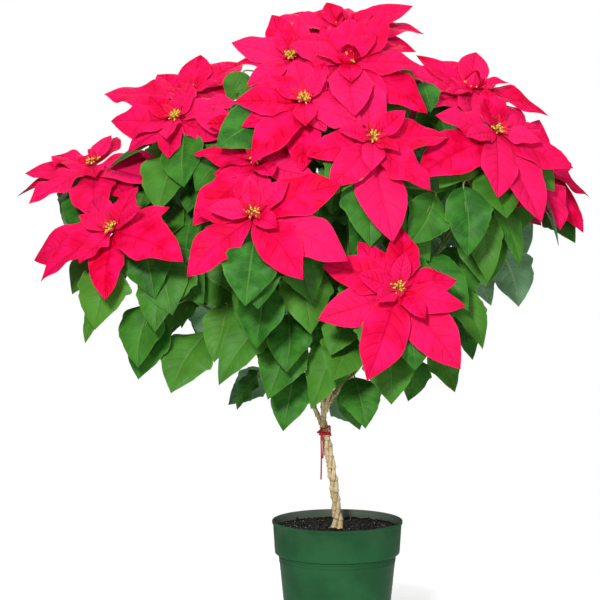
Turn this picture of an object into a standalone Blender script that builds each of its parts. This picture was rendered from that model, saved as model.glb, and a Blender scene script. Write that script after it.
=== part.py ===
"""A poinsettia grown as a small tree in a green nursery pot.

Three stems twist into one trunk, held by a red tie, and part into leafy limbs. Each limb carries drooping
leaves and, at the tip of every shoot, a bloom of red bracts round a cluster of small yellow flower cups.
Metres, +Z up. The origin is the middle of the pot's underside, and -Y is the plant's front.
"""

import math
import random
from collections import namedtuple
from itertools import product

import bmesh
import bpy
from mathutils import Matrix, Vector
from mathutils.bvhtree import BVHTree

# The pot: an eight-inch nursery pot, a thin wall with a deep band under its rim
POT_HEIGHT = 0.190
RIM_RADIUS = 0.1015
BAND_LOW_RADIUS = 0.0970
BAND_HEIGHT = 0.051
BODY_TOP_RADIUS = 0.0915
BASE_RADIUS = 0.0770
WALL = 0.0020
FLOOR = 0.0030
FOOT_BEVEL = 0.0030
RIM_BEVEL = 0.0010
POT_SIDES = 28
DRAIN_HOLES = 4
DRAIN_RADIUS = 0.0055
DRAIN_CIRCLE = 0.058

# The soil, a little below the rim
SOIL_TOP = POT_HEIGHT - 0.012
SOIL_RINGS = 2
SOIL_LUMP = 0.0016
SOIL_WAVE = 105.0
FIT_GAP = 0.0004

# The trunk: three stems twisted round one leaning line, each standing in a plain hole in the soil
TRUNK_TOP = 0.350
TRUNK_LEAN = 0.0245
LEAN_POWER = 1.6
TWIST_PITCH = 0.087
ROOT_END = 0.128
ROOT_RISE = 0.002
STEM_RADIUS = 0.0033
STEM_FLARE = 0.0011
FLARE_HEIGHT = 0.030
STEM_GAP = 0.0007
STEM_STEP = 0.0100
HOLE_ROOM = 0.0008
ROD_SIDES = 8
TUBE_SIDES = 6

# The woody branches over the trunk: their radius, and how far their curves lean out, rise and arrive
BRANCH_RADIUS = 0.0031
BRANCH_STEPS = 3
BRANCH_OUT = 0.15
BRANCH_LIFT = 0.45
BRANCH_ARRIVE = 0.30

# The red tie below the fork: a turn for each tilt, a knot on its front, and two loose ends
TIE_HEIGHT = 0.327
TIE_SPACING = 0.00285
TIE_TILTS = ((-0.06, -0.10), (0.0, 0.10), (0.06, -0.10))
TIE_RADIUS = 0.0011
TIE_ROOM = 0.0006
TIE_SIDES = 10
TIE_SECTION_SIDES = 4
KNOT_RADIUS = 0.0029
KNOT_STRETCH = 1.7
KNOT_OUT = 0.4
KNOT_WAY = (-0.42, -0.90, 0.0)
TIE_ENDS = (("tie_end_long", 0.067, -0.0012), ("tie_end_short", 0.034, 0.0015))
TIE_END_BACK = 0.0004
TIE_END_STEP = 0.0065
TIE_END_SWAY = 0.0006

# Limbs and shoots. Each begins and ends with a straight stub, so that it meets what carries it square
LIMB_RADIUS = 0.0030
SHOOT_RADIUS = 0.0027
SHOOT_TIP_RADIUS = 0.0022
SHOOT_STEPS = 3
STUB = 0.006
JOINT_GAP = 0.0003
FORK_OUT = 0.22
FORK_RISE = 0.16
SHOOT_LEAD = 0.38
SHOOT_ARRIVE = 0.30

# Blooms: the hub that the bracts spring from, and the cluster of cups on it
HUB_RADIUS = 0.0056
HUB_HEIGHT = 0.0130
LONG_WHORLS = (0.0024, 0.0056)
SHORT_WHORLS = (0.0080, 0.0104)
SEAT_SHARE = 0.35
CUPS = 5
CUP_BASE = 0.0016
CUP_PEAK = 0.0022
CUP_HEIGHT = 0.0050
CUP_SPREAD = 0.0016
CUP_TAPER = 0.62

# Blades: each bract or leaf
STALK_WIDTH = 0.0014
STALK_DEPTH = 0.0024
LEAF_KEEL = 0.0024
BRACT_KEEL = 0.0022
KEEL_TAPER = 0.4
LEAF_ARCH = 0.13
BRACT_ARCH = 0.10
LEAF_SHARE = 0.38
BRACT_SHARE = 0.26
SHORT_BRACT_SHARE = 0.29
SHORT_BRACT = 0.070
GOLDEN_ANGLE = math.radians(137.508)
SHARPEST_TURN = math.radians(118)

# The room that a blade keeps from other nodes, and from blades and stalks of its own
CLEARANCE = 0.0016
SELF_CLEARANCE = 0.0006
STALK_CLEARANCE = 0.0008
CROWDED = (0.12, 0.30)

# What a blade tries, in turn, until it is clear of the others: its size, its turn and its rise in degrees
LONG_TRIES = ((1.0, 0.88, 0.75), (0, 7, -7, 13, -13), (0, 6, -6, 12, -12, 18, -18, 24))
SHORT_TRIES = ((1.0, 0.85, 0.7), (0, 12, -12, 24, -24), (0, 6, 12, -5, 18, 26))
LEAF_TRIES = ((1.0, 0.85, 0.7), (0, 25, -25, 50, -50, 80, -80, 115, -115, 180), (0, -16, 10, -32))
FRONT_SHIFTS = (0.0, -0.012, 0.014, -0.024, 0.028, 0.042, -0.036, 0.056, 0.070)

# A blade's outline: how far along it each station lies, and its share of the greatest half width there
LEAF_OUTLINE = ((0.12, 0.80), (0.36, 1.00), (0.56, 0.64), (0.68, 0.62))
LONG_BRACT_OUTLINE = ((0.20, 0.50), (0.46, 1.00), (0.72, 0.60))
SHORT_BRACT_OUTLINE = ((0.28, 0.72), (0.62, 0.88))

# How leaves grow by rule along a shoot, from the lowest to the highest share of it
LEAF_ZONE = (0.28, 0.90)
STALK_LENGTHS = (0.034, 0.048)
LEAF_LENGTHS = (0.092, 0.112)
LEAF_DROOPS = (52, 76)

# Where the stalk of a leaf with a stated place may begin
LOWEST_ROOT = 0.030
SHORTEST_STALK = 0.012
NEAREST_ROOTS = 24

WELD = 0.000001
SMOOTH_ANGLE = math.radians(62)

COLOURS = {
    "pot_plastic": ((0.020, 0.110, 0.050), 0.35),
    "potting_soil": ((0.030, 0.022, 0.018), 0.95),
    "woody_stem": ((0.500, 0.390, 0.220), 0.80),
    "red_tie": ((0.550, 0.010, 0.030), 0.60),
    "green_leaf": ((0.035, 0.140, 0.020), 0.55),
    "red_bract": ((0.800, 0.005, 0.040), 0.60),
    "yellow_cup": ((0.750, 0.520, 0.050), 0.50),
}

Bloom = namedtuple("Bloom", "name place turn tilt bracts short")
Limb = namedtuple("Limb", "name stem start blooms leaves")
Leaf = namedtuple("Leaf", "base tip half_width")

# Each bloom: the place of its flower cups, how far it turns from the front (+ is towards +X) and tilts
# above level, in degrees, its long bracts as (angle in its own plane, length), and how many short ones
BLOOMS = {
    bloom.name: bloom
    for bloom in (
        Bloom("low_front", (0.082, -0.280, 0.571), 8, 25,
              ((82, 0.094), (-53, 0.132), (158, 0.108), (-112, 0.135), (14, 0.086), (-163, 0.114),
               (-15, 0.090), (122, 0.088)), 4),
        Bloom("middle_front", (-0.124, -0.290, 0.678), -12, 35,
              ((26, 0.126), (-51, 0.120), (-136, 0.118), (-20, 0.142), (172, 0.082), (95, 0.086)), 4),
        Bloom("behind_middle", (-0.121, -0.205, 0.752), -15, 40,
              ((-130, 0.120), (-14, 0.086), (165, 0.100), (60, 0.084)), 2),
        Bloom("left_front", (-0.334, -0.180, 0.652), -30, 38,
              ((-167, 0.142), (-77, 0.102), (-15, 0.136), (-141, 0.122), (37, 0.084), (138, 0.090),
               (88, 0.084)), 3),
        Bloom("far_left", (-0.376, 0.000, 0.746), -30, 60,
              ((-160, 0.128), (-58, 0.140), (-120, 0.110), (-12, 0.138), (38, 0.100), (100, 0.096),
               (160, 0.100)), 2),
        Bloom("upper_left", (-0.245, -0.080, 0.815), -28, 42,
              ((178, 0.112), (-150, 0.084), (-77, 0.070), (-13, 0.090), (28, 0.094), (100, 0.084)), 3),
        Bloom("high_left", (-0.232, 0.050, 0.856), -20, 58,
              ((173, 0.146), (66, 0.122), (28, 0.102), (-32, 0.094), (-100, 0.096), (125, 0.094)), 2),
        Bloom("small_left", (-0.136, -0.150, 0.803), -12, 42,
              ((164, 0.082), (-100, 0.060), (-20, 0.062), (60, 0.066)), 2),
        Bloom("high_front", (-0.052, -0.190, 0.839), -8, 40,
              ((-124, 0.118), (-88, 0.110), (155, 0.088), (58, 0.086), (-22, 0.090), (-163, 0.090),
               (105, 0.084)), 3),
        Bloom("centre", (0.047, -0.220, 0.784), 10, 35,
              ((-83, 0.142), (-46, 0.104), (-132, 0.100), (-168, 0.120), (12, 0.116), (86, 0.108),
               (136, 0.086)), 4),
        Bloom("crown_left", (-0.070, -0.070, 0.906), -15, 44,
              ((148, 0.088), (-172, 0.078), (-132, 0.088), (94, 0.086), (-28, 0.098), (-80, 0.096),
               (45, 0.090)), 2),
        Bloom("crown_front", (0.014, -0.125, 0.899), 6, 44,
              ((-34, 0.130), (-92, 0.122), (135, 0.098), (34, 0.106), (-140, 0.104), (84, 0.096),
               (0, 0.108)), 3),
        Bloom("crown", (0.008, 0.020, 0.954), 4, 58,
              ((7, 0.124), (139, 0.096), (-161, 0.132), (80, 0.084), (-44, 0.122), (-100, 0.112)), 3),
        Bloom("right_front", (0.235, -0.130, 0.794), 26, 38,
              ((-110, 0.114), (-160, 0.148), (-78, 0.140), (-30, 0.116), (158, 0.094), (15, 0.090),
               (82, 0.086)), 3),
        Bloom("high_right", (0.206, 0.020, 0.864), 25, 56,
              ((-27, 0.120), (-64, 0.140), (100, 0.090), (-156, 0.118), (162, 0.112), (30, 0.094),
               (-110, 0.100)), 2),
        Bloom("far_right", (0.302, -0.010, 0.752), 50, 42,
              ((-37, 0.106), (-76, 0.122), (-110, 0.126), (-145, 0.116), (22, 0.096), (84, 0.092)), 3),
        Bloom("back_left", (-0.270, 0.190, 0.690), -125, 40,
              ((-90, 0.124), (-20, 0.110), (50, 0.100), (120, 0.096), (-160, 0.116)), 3),
        Bloom("back_low", (-0.130, 0.295, 0.640), -165, 34,
              ((-95, 0.128), (-30, 0.116), (35, 0.100), (105, 0.092), (-155, 0.118)), 3),
        Bloom("back_middle", (0.085, 0.300, 0.668), 168, 34,
              ((-80, 0.130), (-15, 0.114), (60, 0.098), (130, 0.100), (-145, 0.120)), 3),
        Bloom("back_right", (0.250, 0.185, 0.712), 125, 40,
              ((-85, 0.126), (-20, 0.114), (45, 0.098), (115, 0.096), (-150, 0.116)), 3),
        Bloom("high_back", (-0.100, 0.185, 0.838), -155, 56,
              ((-90, 0.120), (-25, 0.110), (50, 0.104), (125, 0.100), (-160, 0.112)), 3),
        Bloom("high_back_right", (0.120, 0.165, 0.850), 145, 56,
              ((-90, 0.120), (-20, 0.112), (55, 0.100), (125, 0.100), (-155, 0.114)), 3),
    )
}

# Each limb: the twisted stem that it grows from, where its green wood begins, the blooms at its shoots'
# tips, and how many leaves grow by rule on each shoot
LIMBS = (
    Limb("limb_left_front", 0, (-0.072, -0.030, 0.410), ("left_front", "small_left"), 4),
    Limb("limb_left", 0, (-0.082, 0.010, 0.425), ("far_left", "upper_left"), 5),
    Limb("limb_left_back", 0, (-0.066, 0.044, 0.415), ("back_left", "high_left"), 4),
    Limb("limb_front", 1, (-0.040, -0.056, 0.420),
         ("middle_front", "behind_middle", "high_front", "crown_left"), 2),
    Limb("limb_front_right", 1, (0.000, -0.052, 0.425), ("low_front", "centre", "crown_front"), 3),
    Limb("limb_right", 1, (0.024, -0.020, 0.420), ("right_front", "far_right", "high_right"), 3),
    Limb("limb_back_right", 2, (0.020, 0.034, 0.415), ("back_right", "back_middle", "high_back_right"), 3),
    Limb("limb_back", 2, (-0.022, 0.056, 0.420), ("back_low", "high_back", "crown"), 3),
)

# The leaves that show at the front, as (where the blade begins, where its tip hangs, its half width)
FRONT_LEAVES = (
    Leaf((-0.058, -0.215, 0.600), (-0.043, -0.232, 0.500), 0.038),
    Leaf((-0.118, -0.190, 0.616), (-0.152, -0.212, 0.524), 0.031),
    Leaf((-0.100, -0.150, 0.530), (-0.178, -0.176, 0.420), 0.032),
    Leaf((-0.166, -0.130, 0.535), (-0.186, -0.160, 0.452), 0.029),
    Leaf((-0.070, -0.160, 0.497), (-0.104, -0.188, 0.400), 0.038),
    Leaf((-0.064, -0.110, 0.440), (-0.084, -0.135, 0.346), 0.033),
    Leaf((0.006, -0.165, 0.492), (-0.040, -0.190, 0.386), 0.036),
    Leaf((0.024, -0.110, 0.425), (0.040, -0.145, 0.352), 0.031),
    Leaf((0.010, -0.040, 0.400), (0.034, -0.030, 0.335), 0.022),
    Leaf((-0.118, -0.020, 0.428), (-0.158, -0.014, 0.364), 0.027),
    Leaf((-0.268, -0.170, 0.590), (-0.268, -0.196, 0.500), 0.030),
    Leaf((-0.222, -0.160, 0.606), (-0.252, -0.184, 0.530), 0.028),
    Leaf((-0.276, -0.110, 0.535), (-0.300, -0.130, 0.440), 0.026),
    Leaf((-0.342, -0.140, 0.560), (-0.374, -0.160, 0.480), 0.018),
    Leaf((0.010, -0.200, 0.750), (-0.014, -0.222, 0.672), 0.030),
    Leaf((0.052, -0.170, 0.700), (0.016, -0.200, 0.610), 0.033),
    Leaf((0.140, -0.190, 0.700), (0.098, -0.214, 0.628), 0.032),
    Leaf((0.180, -0.180, 0.712), (0.186, -0.210, 0.610), 0.033),
    Leaf((0.208, -0.130, 0.680), (0.218, -0.150, 0.568), 0.026),
    Leaf((0.232, -0.110, 0.700), (0.270, -0.120, 0.590), 0.020),
    Leaf((0.118, -0.150, 0.612), (0.190, -0.180, 0.530), 0.026),
    Leaf((0.170, -0.120, 0.560), (0.216, -0.140, 0.470), 0.024),
    Leaf((0.106, -0.160, 0.470), (0.100, -0.190, 0.398), 0.026),
    Leaf((0.140, -0.110, 0.470), (0.172, -0.130, 0.404), 0.024),
    Leaf((-0.210, -0.080, 0.740), (-0.226, -0.110, 0.670), 0.028),
    Leaf((-0.190, -0.100, 0.800), (-0.176, -0.130, 0.730), 0.027),
    Leaf((-0.222, -0.060, 0.790), (-0.196, -0.090, 0.726), 0.026),
    Leaf((-0.258, -0.050, 0.752), (-0.302, -0.070, 0.712), 0.024),
    Leaf((-0.284, -0.040, 0.740), (-0.306, -0.070, 0.664), 0.028),
    Leaf((-0.166, -0.060, 0.748), (-0.150, -0.095, 0.676), 0.028),
    Leaf((0.300, -0.060, 0.700), (0.330, -0.080, 0.620), 0.024),
)


def clear_scene():
    for old in list(bpy.data.objects):
        bpy.data.objects.remove(old)


def material(name):
    colour, roughness = COLOURS[name]
    made = bpy.data.materials.get(name) or bpy.data.materials.new(name)
    made.use_nodes = True
    shader = made.node_tree.nodes["Principled BSDF"]
    shader.inputs["Base Color"].default_value = (*colour, 1.0)
    shader.inputs["Roughness"].default_value = roughness
    return made


def add_object(name, mesh, finish):
    made = bpy.data.objects.new(name, mesh)
    bpy.context.scene.collection.objects.link(made)
    finished(mesh, finish)
    return made


def finished(mesh, finish):
    """Gives a mesh its one material, and shades its round sides smooth."""
    mesh.materials.clear()
    mesh.materials.append(material(finish))
    mesh.shade_smooth()
    mesh.set_sharp_from_angle(angle=SMOOTH_ANGLE)


def mesh_of(name, verts, faces):
    """A closed mesh of these faces, turned to face outwards."""
    mesh = bpy.data.meshes.new(name)
    form = bmesh.new()
    made = [form.verts.new(v) for v in verts]
    for face in faces:
        form.faces.new([made[i] for i in face])
    bmesh.ops.recalc_face_normals(form, faces=form.faces)
    form.to_mesh(mesh)
    form.free()
    return mesh


def round_curve(name, points, radii, thickness, resolution):
    """A bevelled curve with filled ends through these points. Each radius is a share of the thickness."""
    curve = bpy.data.curves.new(name, "CURVE")
    curve.dimensions = "3D"
    curve.bevel_depth = thickness
    curve.bevel_resolution = resolution
    curve.use_fill_caps = True
    spline = curve.splines.new("POLY")
    spline.points.add(len(points) - 1)
    for place, point, radius in zip(spline.points, points, radii):
        place.co = (*point, 1.0)
        place.radius = radius
    return curve


def tube_mesh(name, points, radii):
    """A round rod through these points, as a bevelled curve turned into a closed mesh."""
    curve = round_curve(name, points, radii, 1.0, (TUBE_SIDES - 4) // 2)
    rod = bpy.data.objects.new(name, curve)
    bpy.context.scene.collection.objects.link(rod)
    mesh = bpy.data.meshes.new_from_object(rod)
    bpy.data.objects.remove(rod)
    bpy.data.curves.remove(curve)
    weld(mesh)
    return mesh


def weld(mesh):
    form = bmesh.new()
    form.from_mesh(mesh)
    bmesh.ops.remove_doubles(form, verts=form.verts, dist=1e-6)
    bmesh.ops.recalc_face_normals(form, faces=form.faces)
    form.to_mesh(mesh)
    form.free()


def turned_mesh(name, profile, sides):
    """A profile of (radius, height) spun round the Z axis. It begins and ends on the axis."""
    form = bmesh.new()
    line = [form.verts.new((radius, 0.0, height)) for radius, height in profile]
    edges = [form.edges.new(pair) for pair in zip(line, line[1:])]
    bmesh.ops.spin(form, geom=line + edges, axis=(0, 0, 1), cent=(0, 0, 0), angle=math.tau, steps=sides)
    bmesh.ops.remove_doubles(form, verts=form.verts, dist=1e-6)
    bmesh.ops.recalc_face_normals(form, faces=form.faces)
    mesh = bpy.data.meshes.new(name)
    form.to_mesh(mesh)
    form.free()
    return mesh


def applied(node):
    """A node's mesh with its modifiers applied."""
    bpy.context.view_layer.update()
    return bpy.data.meshes.new_from_object(node.evaluated_get(bpy.context.evaluated_depsgraph_get()))


def fused(name, meshes, finish, solver):
    """One node: the first mesh, with the others joined to it by one Boolean union."""
    node = add_object(name, meshes[0], finish)
    if len(meshes) > 1:
        repeats = bpy.data.collections.new(name + "_repeats")
        bpy.context.scene.collection.children.link(repeats)
        for number, mesh in enumerate(meshes[1:]):
            repeats.objects.link(bpy.data.objects.new(f"{name}_repeat_{number}", mesh))
        union = node.modifiers.new("union", "BOOLEAN")
        union.operation = "UNION"
        union.operand_type = "COLLECTION"
        union.collection = repeats
        union.solver = solver
        joined = applied(node)
        node.modifiers.clear()
        node.data = joined
        for repeat in list(repeats.objects):
            bpy.data.objects.remove(repeat)
        bpy.data.collections.remove(repeats)
        drop_scraps(joined)
        finished(joined, finish)


def drop_scraps(mesh):
    """Leaves only the largest body of a mesh, without the slivers that a union can make or shed."""
    form = bmesh.new()
    form.from_mesh(mesh)
    bmesh.ops.remove_doubles(form, verts=form.verts, dist=WELD)
    bmesh.ops.triangulate(form, faces=form.faces)
    unseen, largest = set(form.verts), []
    while unseen:
        body, edge = [], [unseen.pop()]
        while edge:
            vertex = edge.pop()
            body.append(vertex)
            near = {e.other_vert(vertex) for e in vertex.link_edges} & unseen
            unseen -= near
            edge.extend(near)
        largest = max(largest, body, key=len)
    keep = set(largest)
    bmesh.ops.delete(form, geom=[v for v in form.verts if v not in keep], context="VERTS")
    form.to_mesh(mesh)
    form.free()


def cut(node, cutters):
    """Cuts the cutters' meshes out of a node."""
    for number, mesh in enumerate(cutters):
        cutter = bpy.data.objects.new(f"{node.name}_cutter_{number}", mesh)
        bpy.context.scene.collection.objects.link(cutter)
        hole = node.modifiers.new("hole", "BOOLEAN")
        hole.operation = "DIFFERENCE"
        hole.object = cutter
    made = applied(node)
    for hole in list(node.modifiers):
        bpy.data.objects.remove(hole.object)
    node.modifiers.clear()
    made.set_sharp_from_angle(angle=SMOOTH_ANGLE)
    node.data = made


def rod_mesh(name, centre, radius, low, high):
    """An upright rod, for the holes."""
    mesh = bpy.data.meshes.new(name)
    form = bmesh.new()
    place = Matrix.Translation((centre[0], centre[1], (low + high) / 2))
    bmesh.ops.create_cone(form, cap_ends=True, segments=ROD_SIDES, radius1=radius, radius2=radius,
                          depth=high - low, matrix=place)
    form.to_mesh(mesh)
    form.free()
    return mesh


# The pot and its soil


def pot_profile(inset):
    """The pot's outer side from floor to rim as (radius, height), moved in by inset."""
    band_foot = POT_HEIGHT - BAND_HEIGHT
    return [
        (BASE_RADIUS - inset, 0.0),
        (BODY_TOP_RADIUS - inset, band_foot),
        (BAND_LOW_RADIUS - inset, band_foot),
        (RIM_RADIUS - inset, POT_HEIGHT),
    ]


def make_pot():
    foot, shoulder, band, rim = pot_profile(0.0)
    inner_foot, inner_shoulder, inner_band, inner_rim = pot_profile(WALL)
    outside = [
        (0.0, 0.0),
        (foot[0] - FOOT_BEVEL, 0.0),
        (foot[0], FOOT_BEVEL),
        shoulder,
        band,
        (rim[0], rim[1] - RIM_BEVEL),
        (rim[0] - RIM_BEVEL / 2, rim[1]),
    ]
    inside = [
        (inner_rim[0], inner_rim[1]),
        (inner_band[0], inner_band[1] + WALL),
        (inner_shoulder[0], inner_shoulder[1] + WALL),
        (inner_foot[0], FLOOR),
        (0.0, FLOOR),
    ]
    pot = add_object("pot", turned_mesh("pot", outside + inside, POT_SIDES), "pot_plastic")
    drains = []
    for number in range(DRAIN_HOLES):
        angle = math.tau * (number + 0.5) / DRAIN_HOLES
        centre = (DRAIN_CIRCLE * math.cos(angle), DRAIN_CIRCLE * math.sin(angle))
        drains.append(rod_mesh("drain", centre, DRAIN_RADIUS, -FLOOR, 2 * FLOOR))
    cut(pot, drains)


def soil_height(x, y):
    """The soil's lumps: flat at the trunk and at the wall, and uneven between."""
    rise = math.sin(math.pi * min(1.0, math.hypot(x, y) / RIM_RADIUS))
    return SOIL_TOP + SOIL_LUMP * rise * math.sin(SOIL_WAVE * x + y) * math.cos(SOIL_WAVE * y)


def make_soil():
    foot, shoulder, band, rim = pot_profile(WALL + FIT_GAP)
    lift = WALL + FIT_GAP
    share = (SOIL_TOP - band[1]) / (rim[1] - band[1])
    edge = band[0] + (rim[0] - band[0]) * share
    slope = (shoulder[0] - foot[0]) / shoulder[1]
    profile = [
        (0.0, FLOOR + FIT_GAP),
        (foot[0] + slope * FLOOR, FLOOR + FIT_GAP),
        (shoulder[0], shoulder[1] + lift),
        (band[0], band[1] + lift),
        (edge, SOIL_TOP),
    ]
    profile += [(edge * ring / SOIL_RINGS, SOIL_TOP) for ring in range(SOIL_RINGS - 1, -1, -1)]
    mesh = turned_mesh("soil", profile, POT_SIDES)
    for vertex in mesh.vertices:
        if vertex.co.z > SOIL_TOP - WELD:
            vertex.co.z = soil_height(vertex.co.x, vertex.co.y)
    soil = add_object("soil", mesh, "potting_soil")
    holes = []
    for number in range(3):
        x, y, _ = stem_point(number, SOIL_TOP)
        radius = stem_radius(SOIL_TOP) + HOLE_ROOM
        holes.append(rod_mesh("stem_hole", (x, y), radius, ROOT_END - HOLE_ROOM, POT_HEIGHT))
    cut(soil, holes)


# The trunk


def trunk_line(height):
    """The line that the three stems twist round: upright in the soil, then leaning to the left."""
    rise = max(0.0, (height - SOIL_TOP) / (TRUNK_TOP - SOIL_TOP))
    return Vector((-TRUNK_LEAN * rise**LEAN_POWER, 0.0, height))


def stem_radius(height):
    """A stem's radius: thicker where it leaves the soil."""
    near = max(0.0, 1.0 - max(0.0, height - SOIL_TOP) / FLARE_HEIGHT)
    return STEM_RADIUS + STEM_FLARE * near


def stem_point(number, height):
    """The middle of one of the three stems at a height. Its twist ends where it enters the soil."""
    below = TRUNK_TOP - max(height, SOIL_TOP + ROOT_RISE)
    turn = math.tau * (number / 3 + 0.5 - below / TWIST_PITCH)
    away = (2 * stem_radius(height) + STEM_GAP) / math.sqrt(3)
    return trunk_line(height) + Vector((away * math.cos(turn), away * math.sin(turn), 0.0))


def stem_path(number):
    """A stem's points and radii from its root's end to the top of the trunk."""
    begin = SOIL_TOP + ROOT_RISE
    count = math.ceil((TRUNK_TOP - begin) / STEM_STEP)
    heights = [ROOT_END, SOIL_TOP - ROOT_RISE]
    heights += [begin + (TRUNK_TOP - begin) * step / count for step in range(count + 1)]
    return [stem_point(number, h) for h in heights], [stem_radius(h) for h in heights]


def branch_path(number, target):
    """A woody branch from the top of a twisted stem to where its limb turns green."""
    top = stem_point(number, TRUNK_TOP)
    outward = (top - trunk_line(TRUNK_TOP)).normalized()
    reach = (target - top).length
    lead = top + (outward * BRANCH_OUT + Vector((0, 0, BRANCH_LIFT))) * reach
    ahead = limb_direction(target)
    arrive = target - ahead * reach * BRANCH_ARRIVE
    neck = target - ahead * STUB
    steps = [step / BRANCH_STEPS for step in range(BRANCH_STEPS + 1)]
    return [cubic(top, lead, arrive, neck, step) for step in steps] + [target]


def limb_direction(start):
    """The way a limb points where it begins: away from the top of the trunk."""
    return (start - trunk_line(TRUNK_TOP)).normalized()


def make_stems():
    """Each stem runs on into its first branch, and its other branches are joined to its top."""
    for number in range(3):
        points, radii = stem_path(number)
        branches = [branch_path(number, Vector(limb.start)) for limb in LIMBS if limb.stem == number]
        points += branches[0][1:]
        radii += [BRANCH_RADIUS] * (len(branches[0]) - 1)
        parts = [tube_mesh("stem", points, radii)]
        parts += [tube_mesh("branch", path, [BRANCH_RADIUS] * len(path)) for path in branches[1:]]
        fused(f"stem_{number + 1}", parts, "woody_stem", "EXACT")


def ring_mesh(centre, axis, major, minor):
    """A ring of round section about an axis."""
    spin = axis.to_track_quat("Z", "Y").to_matrix()
    verts, faces = [], []
    sides = TIE_SECTION_SIDES
    for step in range(TIE_SIDES):
        turn = math.tau * step / TIE_SIDES
        for side in range(sides):
            bend = math.tau * side / sides
            reach = major + minor * math.cos(bend)
            point = Vector((reach * math.cos(turn), reach * math.sin(turn), minor * math.sin(bend)))
            verts.append(centre + spin @ point)
            here, there = step * sides, (step + 1) % TIE_SIDES * sides
            after = (side + 1) % sides
            faces.append((here + side, there + side, there + after, here + after))
    return mesh_of("ring", verts, faces)


def tie_major():
    """The radius of the tie's turns: just clear of the three stems."""
    return (2 * STEM_RADIUS + STEM_GAP) / math.sqrt(3) + STEM_RADIUS + TIE_RADIUS + TIE_ROOM


def knot_place():
    reach = tie_major() + TIE_RADIUS + KNOT_RADIUS * KNOT_OUT
    return trunk_line(TIE_HEIGHT) + Vector(KNOT_WAY).normalized() * reach


def knot_mesh():
    knot = bpy.data.meshes.new("knot")
    form = bmesh.new()
    bmesh.ops.create_icosphere(form, subdivisions=1, radius=KNOT_RADIUS)
    bmesh.ops.scale(form, vec=(1.0, 1.0, KNOT_STRETCH), verts=form.verts)
    bmesh.ops.translate(form, vec=knot_place(), verts=form.verts)
    form.to_mesh(knot)
    form.free()
    return knot


def make_tie():
    """The turns of the tie, each a little tilted, and its knot."""
    lean = (trunk_line(TIE_HEIGHT + TIE_SPACING) - trunk_line(TIE_HEIGHT - TIE_SPACING)).normalized()
    parts = [knot_mesh()]
    for turn, (sideways, forward) in enumerate(TIE_TILTS):
        middle = trunk_line(TIE_HEIGHT) + lean * TIE_SPACING * (turn - 1)
        axis = (lean + Vector((sideways, forward, 0.0))).normalized()
        parts.append(ring_mesh(middle, axis, tie_major(), TIE_RADIUS))
    fused("tie", parts, "red_tie", "EXACT")


def make_tie_end(name, length, across):
    """A loose end of the tie: a cord that hangs from under the knot."""
    top = knot_place() + Vector((across, -TIE_END_BACK, -KNOT_RADIUS * KNOT_STRETCH - JOINT_GAP))
    count = round(length / TIE_END_STEP)
    drop = []
    for step in range(count + 1):
        share = step / count
        drop.append(top + Vector((TIE_END_SWAY * math.sin(math.pi * share), 0.0, -length * share)))
    curve = round_curve(name, drop, [1.0] * len(drop), TIE_RADIUS, 2)
    curve.materials.append(material("red_tie"))
    bpy.context.scene.collection.objects.link(bpy.data.objects.new(name, curve))


# Blades: leaves and bracts


def cubic(a, b, c, d, t):
    s = 1 - t
    return a * s**3 + b * (3 * s * s * t) + c * (3 * s * t * t) + d * t**3


def quadratic(a, b, c, t):
    s = 1 - t
    return a * s * s + b * (2 * s * t) + c * t * t


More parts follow.
